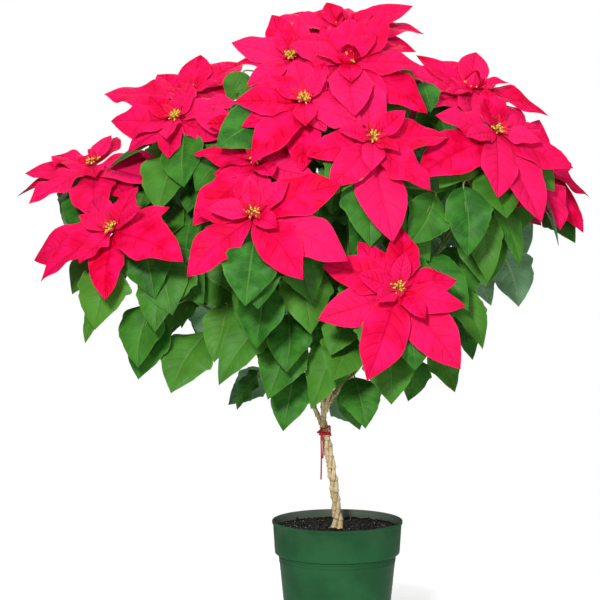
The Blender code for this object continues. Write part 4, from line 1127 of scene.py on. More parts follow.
def add(
    tree: bpy.types.NodeTree, kind: str, inputs: Mapping[int | str, Any] | None = None, **settings: Any
) -> bpy.types.Node:
    """Adds a node to a tree.

    Args:
        tree: a shader or geometry tree.
        kind: the node's type.
        inputs: what goes into its sockets, by name or number: another node, whose main result is taken,
            one of its sockets, or a plain value.
        settings: the node's own properties.

    Returns:
        The node.
    """
    node = tree.nodes.new(kind)
    for name, value in settings.items():
        setattr(node, name, value)
    for name, value in (inputs or {}).items():
        if isinstance(value, bpy.types.Node):
            value = value.outputs[2 if value.bl_idname == "ShaderNodeMix" else 0]
        if isinstance(value, bpy.types.NodeSocket):
            tree.links.new(value, node.inputs[name])
        else:
            node.inputs[name].default_value = value
    return node


@dataclass(frozen=True)
class Finish:
    """A finish, whose material is built once and then shared by the pieces that take it."""

    name: str

    def material(self) -> bpy.types.Material:
        """Finds the finish's material, or makes it.

        Returns:
            The material.
        """
        made = bpy.data.materials.get(self.name)
        if not made:
            made = bpy.data.materials.new(self.name)
            made.use_nodes = True
            made.node_tree.nodes.clear()
            add(made.node_tree, "ShaderNodeOutputMaterial", {"Surface": self.shader(made.node_tree)})
        return made

    def shader(self, tree: bpy.types.NodeTree) -> bpy.types.Node:
        """Adds the finish's nodes to an empty tree, and returns the shader that they feed."""
        raise NotImplementedError


@dataclass(frozen=True)
class BladeTissue(Finish):
    """One face of a leaf or bract: soft patches of painted light and shade, a midrib, side veins, quilting
    between them.

    The blade's own map gives the place across it (u) and along it (v), and its "tone" tells it from others.
    """

    lit: str
    deep: str
    other: str
    vein: str
    margin: str
    pairs: float
    vein_share: float
    margin_share: float
    roughness: float
    sheen: float
    sheen_tint: str
    quilting: float
    grain: float
    coat: float
    base_shade_depth: float = 0.12
    shine: float = 0.18

    def shader(self, tree: bpy.types.NodeTree) -> bpy.types.Node:
        """Painted light and shade in soft patches and tone give the colour, veins lighten it, and both raise
        the surface.

        Args:
            tree: the material's empty tree.

        Returns:
            The shader.
        """
        uv = add(tree, "ShaderNodeUVMap", uv_map="blade")
        place = add(tree, "ShaderNodeSeparateXYZ", {0: uv})
        along = place.outputs[1]
        tone = add(tree, "ShaderNodeAttribute", attribute_name="tone").outputs["Fac"]
        coords = add(tree, "ShaderNodeTexCoord").outputs["Object"]
        # Clouds about 26 mm across, and a grain of 1.1 mm: real cells are far finer, and it is made to show
        patches = add(tree, "ShaderNodeTexNoise", {"Vector": coords, "Scale": 38.0, "Detail": 3.0})
        grain = add(tree, "ShaderNodeTexNoise", {"Vector": coords, "Scale": 900.0, "Detail": 2.0})
        centred = add(tree, "ShaderNodeMath", {0: place, 1: 2.0, 2: -1.0}, operation="MULTIPLY_ADD")
        across = add(tree, "ShaderNodeMath", {0: centred}, operation="ABSOLUTE")
        # Side veins leave the midrib forwards and bend towards the tip near the margin
        bent = add(tree, "ShaderNodeMath", {0: across, 1: 1.35}, operation="POWER")
        ahead = add(tree, "ShaderNodeMath", {0: along, 1: self.pairs}, operation="MULTIPLY")
        wander = add(tree, "ShaderNodeMath", {0: patches, 1: 0.45, 2: ahead}, operation="MULTIPLY_ADD")
        phase = add(tree, "ShaderNodeMath", {0: bent, 1: -1.5, 2: wander}, operation="MULTIPLY_ADD")
        step = add(tree, "ShaderNodeMath", {0: phase}, operation="FRACT")
        away = add(tree, "ShaderNodeMath", {0: step, 1: 0.5}, operation="SUBTRACT")
        near = add(tree, "ShaderNodeMath", {0: away}, operation="ABSOLUTE")
        side_veins = add(tree, "ShaderNodeMapRange", {0: near, 1: 0.43, 2: 0.5, 3: 0.0, 4: 0.75},
                         interpolation_type="SMOOTHSTEP")
        fading = add(tree, "ShaderNodeMapRange", {0: across, 1: 0.55, 2: 0.98, 3: 1.0, 4: 0.0})
        branches = add(tree, "ShaderNodeMath", {0: side_veins, 1: fading}, operation="MULTIPLY")
        midrib = add(tree, "ShaderNodeMapRange", {0: across, 1: 0.02, 2: 0.065, 3: 1.0, 4: 0.0},
                     interpolation_type="SMOOTHSTEP")
        veins = add(tree, "ShaderNodeMath", {0: branches, 1: midrib}, operation="MAXIMUM")
        # The clouds mix a shaded and a lit copy of the colour: painted shade and painted light in soft
        # patches, leaning to the painted shade towards the blade's base
        base_shade = add(tree, "ShaderNodeMapRange", {0: along, 1: 0.02, 2: 0.42, 3: -self.base_shade_depth, 4: 0.0},
                   interpolation_type="SMOOTHSTEP")
        clouded = add(tree, "ShaderNodeMath", {0: patches, 1: base_shade}, operation="ADD")
        painted_light_and_shade = add(tree, "ShaderNodeMapRange", {0: clouded, 1: 0.38, 2: 0.64})
        lit_and_shaded_tissue = add(tree, "ShaderNodeMix", {0: painted_light_and_shade, 6: linear(self.deep), 7: linear(self.lit)},
                     data_type="RGBA")
        seldom = add(tree, "ShaderNodeMath", {0: tone, 1: tone}, operation="MULTIPLY")
        toned = add(tree, "ShaderNodeMix", {0: seldom, 6: lit_and_shaded_tissue, 7: linear(self.other)}, data_type="RGBA")
        vein_fac = add(tree, "ShaderNodeMath", {0: veins, 1: self.vein_share}, operation="MULTIPLY")
        veined = add(tree, "ShaderNodeMix", {0: vein_fac, 6: toned, 7: linear(self.vein)}, data_type="RGBA")
        edge = add(tree, "ShaderNodeMapRange", {0: across, 1: 0.90, 2: 1.0, 3: 0.0, 4: self.margin_share})
        rimmed = add(tree, "ShaderNodeMix", {0: edge, 6: veined, 7: linear(self.margin)}, data_type="RGBA")
        rough = add(tree, "ShaderNodeMapRange", {0: patches, 1: 0.3, 2: 0.7,
                                                 3: self.roughness - 0.06, 4: self.roughness + 0.06})
        swell = add(tree, "ShaderNodeMath", {0: near, 1: near}, operation="MULTIPLY")
        sunk = add(tree, "ShaderNodeMath", {0: veins, 1: 0.5, 2: swell}, operation="MULTIPLY_ADD")
        raised = add(tree, "ShaderNodeMath", {0: 1.0, 1: sunk}, operation="SUBTRACT")
        quilted = add(tree, "ShaderNodeBump", {"Strength": 1.0, "Distance": self.quilting, "Height": raised})
        grained = add(tree, "ShaderNodeBump", {"Strength": 1.0, "Distance": self.grain,
                                               "Height": grain, "Normal": quilted})
        return add(tree, "ShaderNodeBsdfPrincipled", {
            "Base Color": rimmed, "Roughness": rough, "Normal": grained, "IOR": 1.42,
            "Specular IOR Level": self.shine, "Sheen Weight": self.sheen, "Sheen Roughness": 0.4,
            "Sheen Tint": linear(self.sheen_tint), "Coat Weight": self.coat, "Coat Roughness": 0.35})


# Velvety upper face of a bract: saturated red, whose lighter pink patches are painted velvety highlights and
# deeper red ones painted shade
BRACT_FACE = BladeTissue(
    "velvet bract face, freshly grown", lit="#ff1061", deep="#e20038", other="#ff1e68", vein="#b8002e",
    margin="#ff4a7c", pairs=8.0, vein_share=0.22, margin_share=0.14, roughness=0.58, sheen=0.0,
    sheen_tint="#ff6f98", quilting=0.0014, grain=0.00008, coat=0.0, shine=0.06)
# Duller underside of a bract: paler, with veins that stand out
BRACT_BACK = BladeTissue(
    "matt bract underside, freshly grown", lit="#cf2a55", deep="#b91a44", other="#c22f5c", vein="#d9587c",
    margin="#e0567d", pairs=8.0, vein_share=0.45, margin_share=0.2, roughness=0.7, sheen=0.1,
    sheen_tint="#ffb3c8", quilting=0.0009, grain=0.00005, coat=0.0)
# Small bract by the flower cups: thinner, a little deeper in colour
BRACTLET_FACE = BladeTissue(
    "crimson bractlet, freshly grown", lit="#ef1548", deep="#cb0a36", other="#de1c48", vein="#a30a30",
    margin="#ff7a92", pairs=5.0, vein_share=0.3, margin_share=0.2, roughness=0.6, sheen=0.12,
    sheen_tint="#ff9fbe", quilting=0.0004, grain=0.00005, coat=0.0)
# Upper face of a leaf: deep satin green, paler veins, and a fine light margin
LEAF_FACE = BladeTissue(
    "satin leaf face, freshly grown", lit="#3f8429", deep="#24601a", other="#56932f", vein="#86b45a",
    margin="#86b455", pairs=8.0, vein_share=0.24, margin_share=0.22, roughness=0.5, sheen=0.0,
    sheen_tint="#dfeecf", quilting=0.0010, grain=0.00008, coat=0.04)
# Underside of a leaf: pale blue-green and matt, with a light net of veins
LEAF_BACK = BladeTissue(
    "matt leaf underside, freshly grown", lit="#74a276", deep="#5b8761", other="#7fac7c", vein="#a5c392",
    margin="#9cbd8f", pairs=8.0, vein_share=0.6, margin_share=0.2, roughness=0.68, sheen=0.12,
    sheen_tint="#e8f2e0", quilting=0.0012, grain=0.00006, coat=0.0)


@dataclass(frozen=True)
class Rind(Finish):
    """The skin of a round part: two colours in streaks along it, spots, darker rings and low relief.

    Streaks are 1000 / scale mm wide, and longer by 1 / stretch. The spots' cells are 1.7 times finer.
    """

    lit: str
    deep: str
    spot: str
    scale: float
    stretch: float
    spot_share: float
    roughness: float
    relief: float
    sheen: float
    shine: float = 0.5

    def shader(self, tree: bpy.types.NodeTree) -> bpy.types.Node:
        """Streaked noise gives colour and relief, cells give the spots, and "tone" darker rings.

        Args:
            tree: the material's empty tree.

        Returns:
            The shader.
        """
        coords = add(tree, "ShaderNodeTexCoord").outputs["Object"]
        drawn = add(tree, "ShaderNodeMapping", {"Vector": coords, "Scale": (1.0, 1.0, self.stretch)})
        streaks = add(tree, "ShaderNodeTexNoise", {"Vector": drawn, "Scale": self.scale,
                                                   "Detail": 5.0, "Roughness": 0.62})
        fine = add(tree, "ShaderNodeTexNoise", {"Vector": coords, "Scale": self.scale * 6, "Detail": 3.0})
        cells = add(tree, "ShaderNodeTexVoronoi", {"Vector": coords, "Scale": self.scale * 1.7})
        spots = add(tree, "ShaderNodeMapRange", {0: cells.outputs["Distance"], 1: 0.12, 2: 0.24,
                                                 3: self.spot_share, 4: 0.0})
        groove_darkening = add(tree, "ShaderNodeAttribute", attribute_name="tone").outputs["Fac"]
        marked = add(tree, "ShaderNodeMath", {0: spots, 1: groove_darkening}, operation="MAXIMUM")
        share = add(tree, "ShaderNodeMapRange", {0: streaks, 1: 0.34, 2: 0.66})
        skin = add(tree, "ShaderNodeMix", {0: share, 6: linear(self.deep), 7: linear(self.lit)},
                   data_type="RGBA")
        spotted = add(tree, "ShaderNodeMix", {0: marked, 6: skin, 7: linear(self.spot)}, data_type="RGBA")
        rough = add(tree, "ShaderNodeMapRange", {0: fine, 1: 0.3, 2: 0.7,
                                                 3: self.roughness - 0.08, 4: self.roughness + 0.08})
        heights = add(tree, "ShaderNodeMath", {0: fine, 1: 0.35, 2: streaks}, operation="MULTIPLY_ADD")
        bump = add(tree, "ShaderNodeBump", {"Strength": 1.0, "Distance": self.relief, "Height": heights})
        return add(tree, "ShaderNodeBsdfPrincipled", {
            "Base Color": spotted, "Roughness": rough, "Normal": bump, "IOR": 1.45,
            "Specular IOR Level": self.shine, "Sheen Weight": self.sheen})


# Bark of the trunk: dry, pale straw and knobbly, darker grey-brown in the groove under each node
TRUNK_BARK = Rind("tan bark, weathered", lit="#e9d7ad", deep="#c4a975", spot="#7a6242", scale=210.0,
                  stretch=0.35, spot_share=0.55, roughness=0.8, relief=0.0016, sheen=0.0)
# Skin of the green shoots: smooth and a little waxy
SHOOT_SKIN = Rind("green shoot skin, freshly grown", lit="#7d9a4e", deep="#5c7c3a", spot="#9aa873",
                  scale=160.0, stretch=0.3, spot_share=0.3, roughness=0.5, relief=0.0004, sheen=0.05)
# Skin of the leaf stalks: light green with a flush of red
STALK_SKIN = Rind("leaf stalk skin, freshly grown", lit="#8fa656", deep="#8d7d44", spot="#a4584a",
                  scale=120.0, stretch=1.0, spot_share=0.35, roughness=0.48, relief=0.0003, sheen=0.05)
# Skin of the hub under each bloom: red over green
HUB_SKIN = Rind("flushed hub skin, freshly grown", lit="#b3253f", deep="#8c3a35", spot="#7f8a45",
                scale=180.0, stretch=1.0, spot_share=0.3, roughness=0.55, relief=0.0004, sheen=0.08)
# Peat of the soil's body: nearly black, with a wet shine
PEAT = Rind("moist peat, packed", lit="#1f1e1b", deep="#0c0b0b", spot="#5f615c", scale=240.0,
            stretch=1.0, spot_share=0.2, roughness=0.6, relief=0.0022, sheen=0.0, shine=0.1)
# Crumbs on the soil: black and moist, a few greyer
CRUMB = Rind("peat crumbs, sieved", lit="#242220", deep="#0f0e0d", spot="#6c6e68", scale=420.0,
             stretch=1.0, spot_share=0.25, roughness=0.55, relief=0.0009, sheen=0.0, shine=0.1)
# Bark chips on the soil: dark brown wood, damp
CHIP = Rind("composted bark chips, milled", lit="#342a22", deep="#17130f", spot="#6f6559", scale=300.0,
            stretch=0.5, spot_share=0.25, roughness=0.6, relief=0.0010, sheen=0.0, shine=0.12)
# White grit on the soil: light, chalky grains, laid on thick enough to be painted glints of the wet soil as
# well
GRIT_AND_PAINTED_GLINTS = Rind("white grit, expanded", lit="#d9d8cf", deep="#b3b2a8", spot="#8e8d83", scale=500.0,
            stretch=1.0, spot_share=0.4, roughness=0.9, relief=0.0006, sheen=0.0)


@dataclass(frozen=True)
class MouldedPlastic(Finish):
    """The pot: dyed plastic with the mould's fine texture, drag lines round it, and dust near the rim.

    Where "tone" is one, on the inner wall above the soil, it is grey: a skin left by water, and a painted
    reflection of the pale room.
    """

    dye: str
    shade: str
    dust: str
    dust_from: float
    dust_to: float
    film_and_reflection: float
    roughness: float

    def shader(self, tree: bpy.types.NodeTree) -> bpy.types.Node:
        """Soft clouds vary the dye, height brings the dust, and fine noise gives the satin surface.

        Args:
            tree: the material's empty tree.

        Returns:
            The shader.
        """
        coords = add(tree, "ShaderNodeTexCoord").outputs["Object"]
        # Clouds of 70 mm, the mould's texture of 0.7 mm, and drag lines 4 mm apart, coarse so as to show
        clouds = add(tree, "ShaderNodeTexNoise", {"Vector": coords, "Scale": 14.0, "Detail": 4.0})
        grain = add(tree, "ShaderNodeTexNoise", {"Vector": coords, "Scale": 1400.0, "Detail": 2.0})
        drawn = add(tree, "ShaderNodeMapping", {"Vector": coords, "Scale": (6.0, 6.0, 260.0)})
        drag = add(tree, "ShaderNodeTexNoise", {"Vector": drawn, "Scale": 1.0, "Detail": 3.0})
        height = add(tree, "ShaderNodeSeparateXYZ", {0: coords}).outputs[2]
        near = add(tree, "ShaderNodeMapRange", {0: height, 1: self.dust_from, 2: self.dust_to,
                                                3: 0.0, 4: 0.12}, interpolation_type="SMOOTHSTEP")
        patchy = add(tree, "ShaderNodeMapRange", {0: clouds, 1: 0.42, 2: 0.62})
        inner = add(tree, "ShaderNodeAttribute", attribute_name="tone").outputs["Fac"]
        # The inner wall's grey is partly a trace of water and partly a painted reflection
        water_and_reflection_strength = add(tree, "ShaderNodeMapRange", {0: drag, 1: 0.35, 2: 0.65, 3: 0.7 * self.film_and_reflection, 4: self.film_and_reflection})
        film_and_reflection = add(tree, "ShaderNodeMath", {0: inner, 1: water_and_reflection_strength}, operation="MULTIPLY")
        dust = add(tree, "ShaderNodeMath", {0: near, 1: patchy}, operation="MULTIPLY")
        dust_and_painted_reflection = add(tree, "ShaderNodeMath", {0: film_and_reflection, 1: dust}, operation="MAXIMUM")
        dyed = add(tree, "ShaderNodeMix", {0: patchy, 6: linear(self.shade), 7: linear(self.dye)},
                   data_type="RGBA")
        worn_and_painted_reflection = add(tree, "ShaderNodeMix", {0: dust_and_painted_reflection, 6: dyed, 7: linear(self.dust)}, data_type="RGBA")
        rough = add(tree, "ShaderNodeMapRange", {0: clouds, 1: 0.3, 2: 0.7,
                                                 3: self.roughness - 0.05, 4: self.roughness + 0.08})
        lines = add(tree, "ShaderNodeBump", {"Strength": 0.7, "Distance": 0.0006, "Height": drag})
        bump = add(tree, "ShaderNodeBump", {"Strength": 0.6, "Distance": 0.00008, "Height": grain,
                                            "Normal": lines})
        return add(tree, "ShaderNodeBsdfPrincipled", {
            "Base Color": worn_and_painted_reflection, "Roughness": rough, "Normal": bump, "IOR": 1.5, "Specular IOR Level": 0.05})


# Outer and inner wall of the pot: dark green polypropylene with a satin shine
POT_WALL = MouldedPlastic("green polypropylene, injection moulded", dye="#275936", shade="#214d2e",
                          dust="#6c6f69", dust_from=0.150, dust_to=0.190, film_and_reflection=0.85, roughness=0.46)


@dataclass(frozen=True)
class Yarn(Finish):
    """The tie: dyed wool, with fine fibres that catch the light."""

    dye: str
    shade: str
    fuzz: str

    def shader(self, tree: bpy.types.NodeTree) -> bpy.types.Node:
        """Drawn-out noise gives fibres in colour and relief.

        Args:
            tree: the material's empty tree.

        Returns:
            The shader.
        """
        coords = add(tree, "ShaderNodeTexCoord").outputs["Object"]
        # Wool is 0.03 mm thick: these fibres are about 0.5 mm, so as to show
        fibres = add(tree, "ShaderNodeTexNoise", {"Vector": coords, "Scale": 1800.0, "Detail": 4.0,
                                                  "Roughness": 0.7})
        share = add(tree, "ShaderNodeMapRange", {0: fibres, 1: 0.35, 2: 0.65})
        dyed = add(tree, "ShaderNodeMix", {0: share, 6: linear(self.shade), 7: linear(self.dye)},
                   data_type="RGBA")
        bump = add(tree, "ShaderNodeBump", {"Strength": 0.9, "Distance": 0.00025, "Height": fibres})
        return add(tree, "ShaderNodeBsdfPrincipled", {
            "Base Color": dyed, "Roughness": 0.9, "Normal": bump, "Sheen Weight": 0.4,
            "Sheen Tint": linear(self.fuzz)})


# Wool of the tie: bright red, soft and matt
TIE_YARN = Yarn("red wool yarn, plied", dye="#dc1b2a", shade="#a3101c", fuzz="#ff9a9a")


@dataclass(frozen=True)
class CupTissue(Finish):
    """A flower cup: the "tone" of each point says whether it is green cup, yellow gland or red stamen."""

    cup: str
    gland: str
    stamen: str

    def shader(self, tree: bpy.types.NodeTree) -> bpy.types.Node:
        """The zone picks the colour, and fine noise varies it.

        Args:
            tree: the material's empty tree.

        Returns:
            The shader.
        """
        zone = add(tree, "ShaderNodeAttribute", attribute_name="tone").outputs["Fac"]
        coords = add(tree, "ShaderNodeTexCoord").outputs["Object"]
        fine = add(tree, "ShaderNodeTexNoise", {"Vector": coords, "Scale": 900.0, "Detail": 3.0})
        low = add(tree, "ShaderNodeMapRange", {0: zone, 1: 0.30, 2: 0.45})
        high = add(tree, "ShaderNodeMapRange", {0: zone, 1: 0.60, 2: 0.75})
        yellow = add(tree, "ShaderNodeMix", {0: low, 6: linear(self.cup), 7: linear(self.gland)},
                     data_type="RGBA")
        red = add(tree, "ShaderNodeMix", {0: high, 6: yellow, 7: linear(self.stamen)}, data_type="RGBA")
        shade = add(tree, "ShaderNodeMapRange", {0: fine, 1: 0.3, 2: 0.7, 3: 0.72, 4: 1.12})
        varied = add(tree, "ShaderNodeVectorMath", {0: red, "Scale": shade}, operation="SCALE")
        bump = add(tree, "ShaderNodeBump", {"Strength": 0.6, "Distance": 0.0002, "Height": fine})
        return add(tree, "ShaderNodeBsdfPrincipled", {
            "Base Color": varied, "Roughness": 0.38, "Normal": bump, "IOR": 1.42})


# Flower cups: waxy green cups, glossy yellow glands and red stamens
FLOWER_CUP = CupTissue("waxy flower cup, freshly grown", cup="#cdd350", gland="#ffe455", stamen="#f4792e")


@dataclass(frozen=True)
class StudioFloor(Finish):
    """The floor: matt white paper, lit from below as on a light table."""

    paper: str
    glow: float

    def shader(self, tree: bpy.types.NodeTree) -> bpy.types.Node:
        """A faint unevenness keeps it from being one flat colour.

        Args:
            tree: the material's empty tree.

        Returns:
            The shader.
        """
        coords = add(tree, "ShaderNodeTexCoord").outputs["Object"]
        clouds = add(tree, "ShaderNodeTexNoise", {"Vector": coords, "Scale": 2.0, "Detail": 2.0})
        rough = add(tree, "ShaderNodeMapRange", {0: clouds, 3: 0.85, 4: 0.95})
        return add(tree, "ShaderNodeBsdfPrincipled", {
            "Base Color": linear(self.paper), "Roughness": rough, "Specular IOR Level": 0.0,
            "Emission Color": linear(self.paper), "Emission Strength": self.glow})


# Backdrop paper: plain and pale
FLOOR_PAPER = StudioFloor("white backdrop paper, rolled", paper="#fbfbfb", glow=0.50)


class Build:
    """Collects the points and faces of one piece, with each point's place on its blade and its tone."""

    def __init__(self, finishes: Sequence[Finish]) -> None:
        """Starts empty.

        Args:
            finishes: what its faces choose from by number.
        """
        self.finishes = list(finishes)
        self.points: list[np.ndarray] = []
        self.places: list[np.ndarray] = []
        self.tones: list[np.ndarray] = []
        self.faces: list[tuple[int, ...]] = []
        self.kinds: list[int] = []
        self.count = 0

    def take(
        self, points: np.ndarray, faces: Iterable[tuple[int, ...]], kinds: Iterable[int],
        places: np.ndarray | None = None, tone: float | np.ndarray = 0.0,
    ) -> None:
        """Adds a closed form.

        Args:
            points: its points, a row each.
            faces: the numbers of each face's points, among its own points.
            kinds: the number of each face's finish.
            places: each point's place on the blade's map.
            tone: what tells it from others of its kind, or a value for each point.
        """
        start = self.count
        self.points.append(points)
        self.places.append(np.zeros((len(points), 2)) if places is None else places)
        self.tones.append(np.full(len(points), tone))
        self.faces += [tuple(start + corner for corner in face) for face in faces]
        self.kinds += list(kinds)
        self.count += len(points)

    def rod(
        self, line: Iterable[Iterable[float]], radii: Iterable[float], sides: int, kind: int = 0,
        tone: float = 0.0,
    ) -> None:
        """Adds a closed round rod along a line.

        Args:
            line: its points.
            radii: its radius at each of them.
            sides: how many sides it has.
            kind: the number of its finish.
            tone: what tells it from others of its kind.
        """
        points, faces = round_rod(np.array([tuple(point) for point in line]), np.array(radii), sides)
        self.take(points, faces, [kind] * len(faces), tone=tone)

    def piece(self, name: str, sharp: float = 62.0) -> bpy.types.Object:
        """Makes the piece from what was collected.

        Args:
            name: the piece's name.
            sharp: the angle in degrees from which an edge stays hard.

        Returns:
            The object, linked to the scene.
        """
        mesh = bpy.data.meshes.new(name)
        mesh.from_pydata(np.concatenate(self.points).tolist(), [], self.faces)
        for finish in self.finishes:
            mesh.materials.append(finish.material())
        mesh.polygons.foreach_set("material_index", self.kinds)
        mesh.polygons.foreach_set("use_smooth", [True] * len(mesh.polygons))
        corners = np.zeros(len(mesh.loops), int)
        mesh.loops.foreach_get("vertex_index", corners)
        layer = mesh.uv_layers.new(name="blade")
        layer.data.foreach_set("uv", np.concatenate(self.places)[corners].astype(np.float32).ravel())
        tone = mesh.attributes.new("tone", "FLOAT", "POINT")
        tone.data.foreach_set("value", np.concatenate(self.tones).astype(np.float32))
        mesh.set_sharp_from_angle(angle=math.radians(sharp))
        mesh.validate()
        return placed(name, mesh)


def placed(name: str, mesh: bpy.types.Mesh) -> bpy.types.Object:
    """A new object of this mesh, linked to the scene.

    Args:
        name: its name.
        mesh: its mesh.

    Returns:
        The object.
    """
    made = bpy.data.objects.new(name, mesh)
    bpy.context.scene.collection.objects.link(made)
    return made


def mesh_of(name: str, form: bmesh.types.BMesh) -> bpy.types.Mesh:
    """Turns an edited form into a mesh, and frees it.

    Args:
        name: the mesh's name.
        form: the form.

    Returns:
        The mesh.
    """
    mesh = bpy.data.meshes.new(name)
    form.to_mesh(mesh)
    form.free()
    return mesh


def settle(piece: bpy.types.Object, solid: str) -> None:
    """Lets a piece ride and stand for its solid, and reports it.

    Args:
        piece: the finished object.
        solid: the solid that it stands for.
    """
    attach(piece, "root")
    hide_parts(solid)
    faces = sum(len(face.vertices) - 2 for face in piece.data.polygons)
    log.info("%s: %d triangles, stands for %s", piece.name, faces, solid)


def unit(rows: np.ndarray) -> np.ndarray:
    """Each row scaled to length one."""
    return rows / np.maximum(np.linalg.norm(rows, axis=-1, keepdims=True), 1e-12)


# How far across a blade each of its columns lies, closer together at the midrib
COLUMNS = np.array((-1.0, -0.86, -0.66, -0.44, -0.22, -0.06, 0.0, 0.06, 0.22, 0.44, 0.66, 0.86, 1.0))


@lru_cache
def blade_faces(rows: int) -> tuple[list[tuple[int, ...]], list[int]]:
    """The faces of a blade with this many rows of points and one more point at its tip.

    The upper face's points come first, row by row, then the tip, then the underside's inner points. Both
    share the margin.

    Args:
        rows: how many rows of points there are before the tip.

    Returns:
        The faces, and 0 for each upper one or 1 for each lower one.
    """
    wide = len(COLUMNS)
    tip = rows * wide
    inner = wide - 2

    def upper(row: int, column: int) -> int:
        """A point's number on the upper face, where the last row is the tip."""
        return tip if row == rows else row * wide + column

    def lower(row: int, column: int) -> int:
        """A point's number on the underside, which shares its edges with the upper face.

        Args:
            row: counted from the base.
            column: counted across the blade.

        Returns:
            The point's number.
        """
        if row == rows or column in (0, wide - 1):
            return upper(row, column)
        return tip + 1 + row * inner + column - 1

    faces: list[tuple[int, ...]] = []
    kinds: list[int] = []
    for row in range(rows):
        for column in range(wide - 1):
            for kind, number in ((0, upper), (1, lower)):
                face = [number(row, column), number(row, column + 1), number(row + 1, column + 1),
                        number(row + 1, column)]
                # The underside turns about the same corner, so that both are split along the same diagonal
                faces.append(tuple(dict.fromkeys(face if kind == 0 else face[:1] + face[:0:-1])))
                kinds.append(kind)
    for column in range(wide - 1):
        face = [lower(0, column), lower(0, column + 1), upper(0, column + 1), upper(0, column)]
        faces.append(tuple(dict.fromkeys(face)))
        kinds.append(1)
    return faces, kinds


@dataclass(frozen=True)
class BladeForm:
    """How a fine blade departs from its plain solid. Shares are of the half width, or of the length.

    Its outline is foot and point as powers. It folds at the midrib, bows to its edges, which wave, twists in
    degrees, sways sideways and curls at its tip. Margins are uneven by jag, and some sides have a lobe. The
    blade's thickness and its rib's depth are in metres.
    """

    rows: int
    foot: float
    point: float
    fold: float
    bow: float
    wave: float
    waves: float
    twist: float
    sway: float
    curl: float
    jag: float
    lobe: float
    lobed: float
    thickness: float
    rib: float

    def half_widths(self, t: np.ndarray, widest: float, draw: random.Random) -> tuple[np.ndarray, np.ndarray]:
        """The half widths along both sides, each with its own lobes and uneven margin.

        Args:
            t: the places along the blade.
            widest: the greatest half width.
            draw: the blade's random draws.

        Returns:
            The left and the right half width at each place.
        """
        peak = self.foot / (self.foot + self.point)
        top = peak**self.foot * (1 - peak) ** self.point
        plain = t**self.foot * (1 - t) ** self.point / top
        sides = []
        for _ in range(2):
            width = plain.copy()
            if draw.random() < self.lobed:
                at, high = draw.uniform(0.34, 0.50), self.lobe * draw.uniform(0.5, 1.0)
                before = np.clip((t - at + 0.16) / 0.16, 0, 1) * (t <= at)
                after = np.clip((at + 0.06 - t) / 0.06, 0, 1) * (t > at)
                width += high * (before**1.6 + after)
            uneven = np.array([draw.uniform(-1, 1) for _ in t])
            width *= 1 + self.jag * uneven * np.sin(math.pi * t) ** 0.5
            sides.append(np.maximum(width * widest, 0.0008 * (1 - t)))
        return sides[0], sides[1]

    def points(
        self, blade: Blade, seed: str, ease: float, grown_share: float, roll: float
    ) -> tuple[np.ndarray, np.ndarray]:
        """The fine blade's points and their places on its map, in the order that blade_faces expects.

        Args:
            blade: the plain blade that it follows.
            seed: what its random draws start from.
            ease: how much of its waves, twist and curl it has, from 0 to 1.
            grown_share: how much of the plain blade's size it reaches.
            roll: how far it turns round its midrib.

        Returns:
            The points, and the place of each one.
        """
        draw = random.Random(seed)
        t = np.arange(self.rows + 1) / self.rows
        base, bend, tip = (np.array(p) for p in (blade.base, blade.bend, blade.tip))
        bend, tip = base + (bend - base) * grown_share, base + (tip - base) * grown_share
        length = float(np.linalg.norm(tip - base))
        column = t[:, None]
        middle = base * (1 - column) ** 2 + bend * (2 * column * (1 - column)) + tip * column**2
        ahead = unit((bend - base) * (1 - column) + (tip - bend) * column)
        across = unit(np.cross(ahead, np.array(blade.facing)))
        up = np.cross(across, ahead)
        # The blade's base stays as it is: it leans, rolls and curls more and more beyond it
        lean = draw.uniform(-1, 1) * math.radians(self.twist) * (t - 0.15)
        lean = np.where(t < 0.15, 0.0, lean)[:, None] + roll * np.clip(column / 0.25, 0, 1)
        lean = lean * ease
        across, up = across * np.cos(lean) + up * np.sin(lean), up * np.cos(lean) - across * np.sin(lean)
        free = ease * length
        sway = draw.uniform(-1, 1) * self.sway * free * np.sin(math.pi * t) ** 2
        curl = draw.uniform(-0.4, 1.0) * self.curl * free * np.clip(t - 0.55, 0, 1) ** 2
        ripple = draw.uniform(-1, 1) * 0.012 * free * np.sin(math.tau * 1.3 * t) * t
        middle = middle + across * sway[:, None] + up * (ripple - curl)[:, None]
        left, right = self.half_widths(t, blade.half_width * grown_share, draw)
        width = np.where(COLUMNS[None, :] < 0, left[:, None], right[:, None])
        share = np.abs(COLUMNS)[None, :]
        phases = [draw.uniform(0, 1), draw.uniform(0, 1)]
        counts = [self.waves * draw.uniform(0.8, 1.25) for _ in range(2)]
        strength = self.wave * draw.uniform(0.5, 1.3) * ease
        side_waves = [np.sin(math.tau * (n * t + p)) * np.sin(math.pi * t) ** 0.5
                      for n, p in zip(counts, phases)]
        wave = np.where(COLUMNS[None, :] < 0, side_waves[0][:, None], side_waves[1][:, None]) * strength
        fold = self.fold * draw.uniform(0.6, 1.3)
        height = width * (fold * (share - 0.35) - self.bow * share**2 + wave * share**2.2)
        over = middle[:, None, :] + across[:, None, :] * (width * COLUMNS[None, :])[..., None]
        over = over + up[:, None, :] * height[..., None]
        # The rib under the midrib is a rounded ridge about 2 mm wide, and thins towards the tip
        rib = self.rib * np.exp(-((share * width / 0.0011) ** 2)) * (1 - 0.85 * t)[:, None]
        deep = self.thickness * (1 - share**6) + rib
        under = over - up[:, None, :] * deep[..., None]
        rows, inner = slice(0, self.rows), slice(1, -1)
        found = [over[rows].reshape(-1, 3), middle[-1:], under[rows, inner].reshape(-1, 3)]
        maps = np.stack(np.broadcast_arrays((COLUMNS[None, :] + 1) / 2, t[:, None]), -1)
        places = [maps[rows].reshape(-1, 2), np.array([[0.5, 1.0]]), maps[rows, inner].reshape(-1, 2)]
        return np.concatenate(found), np.concatenate(places)


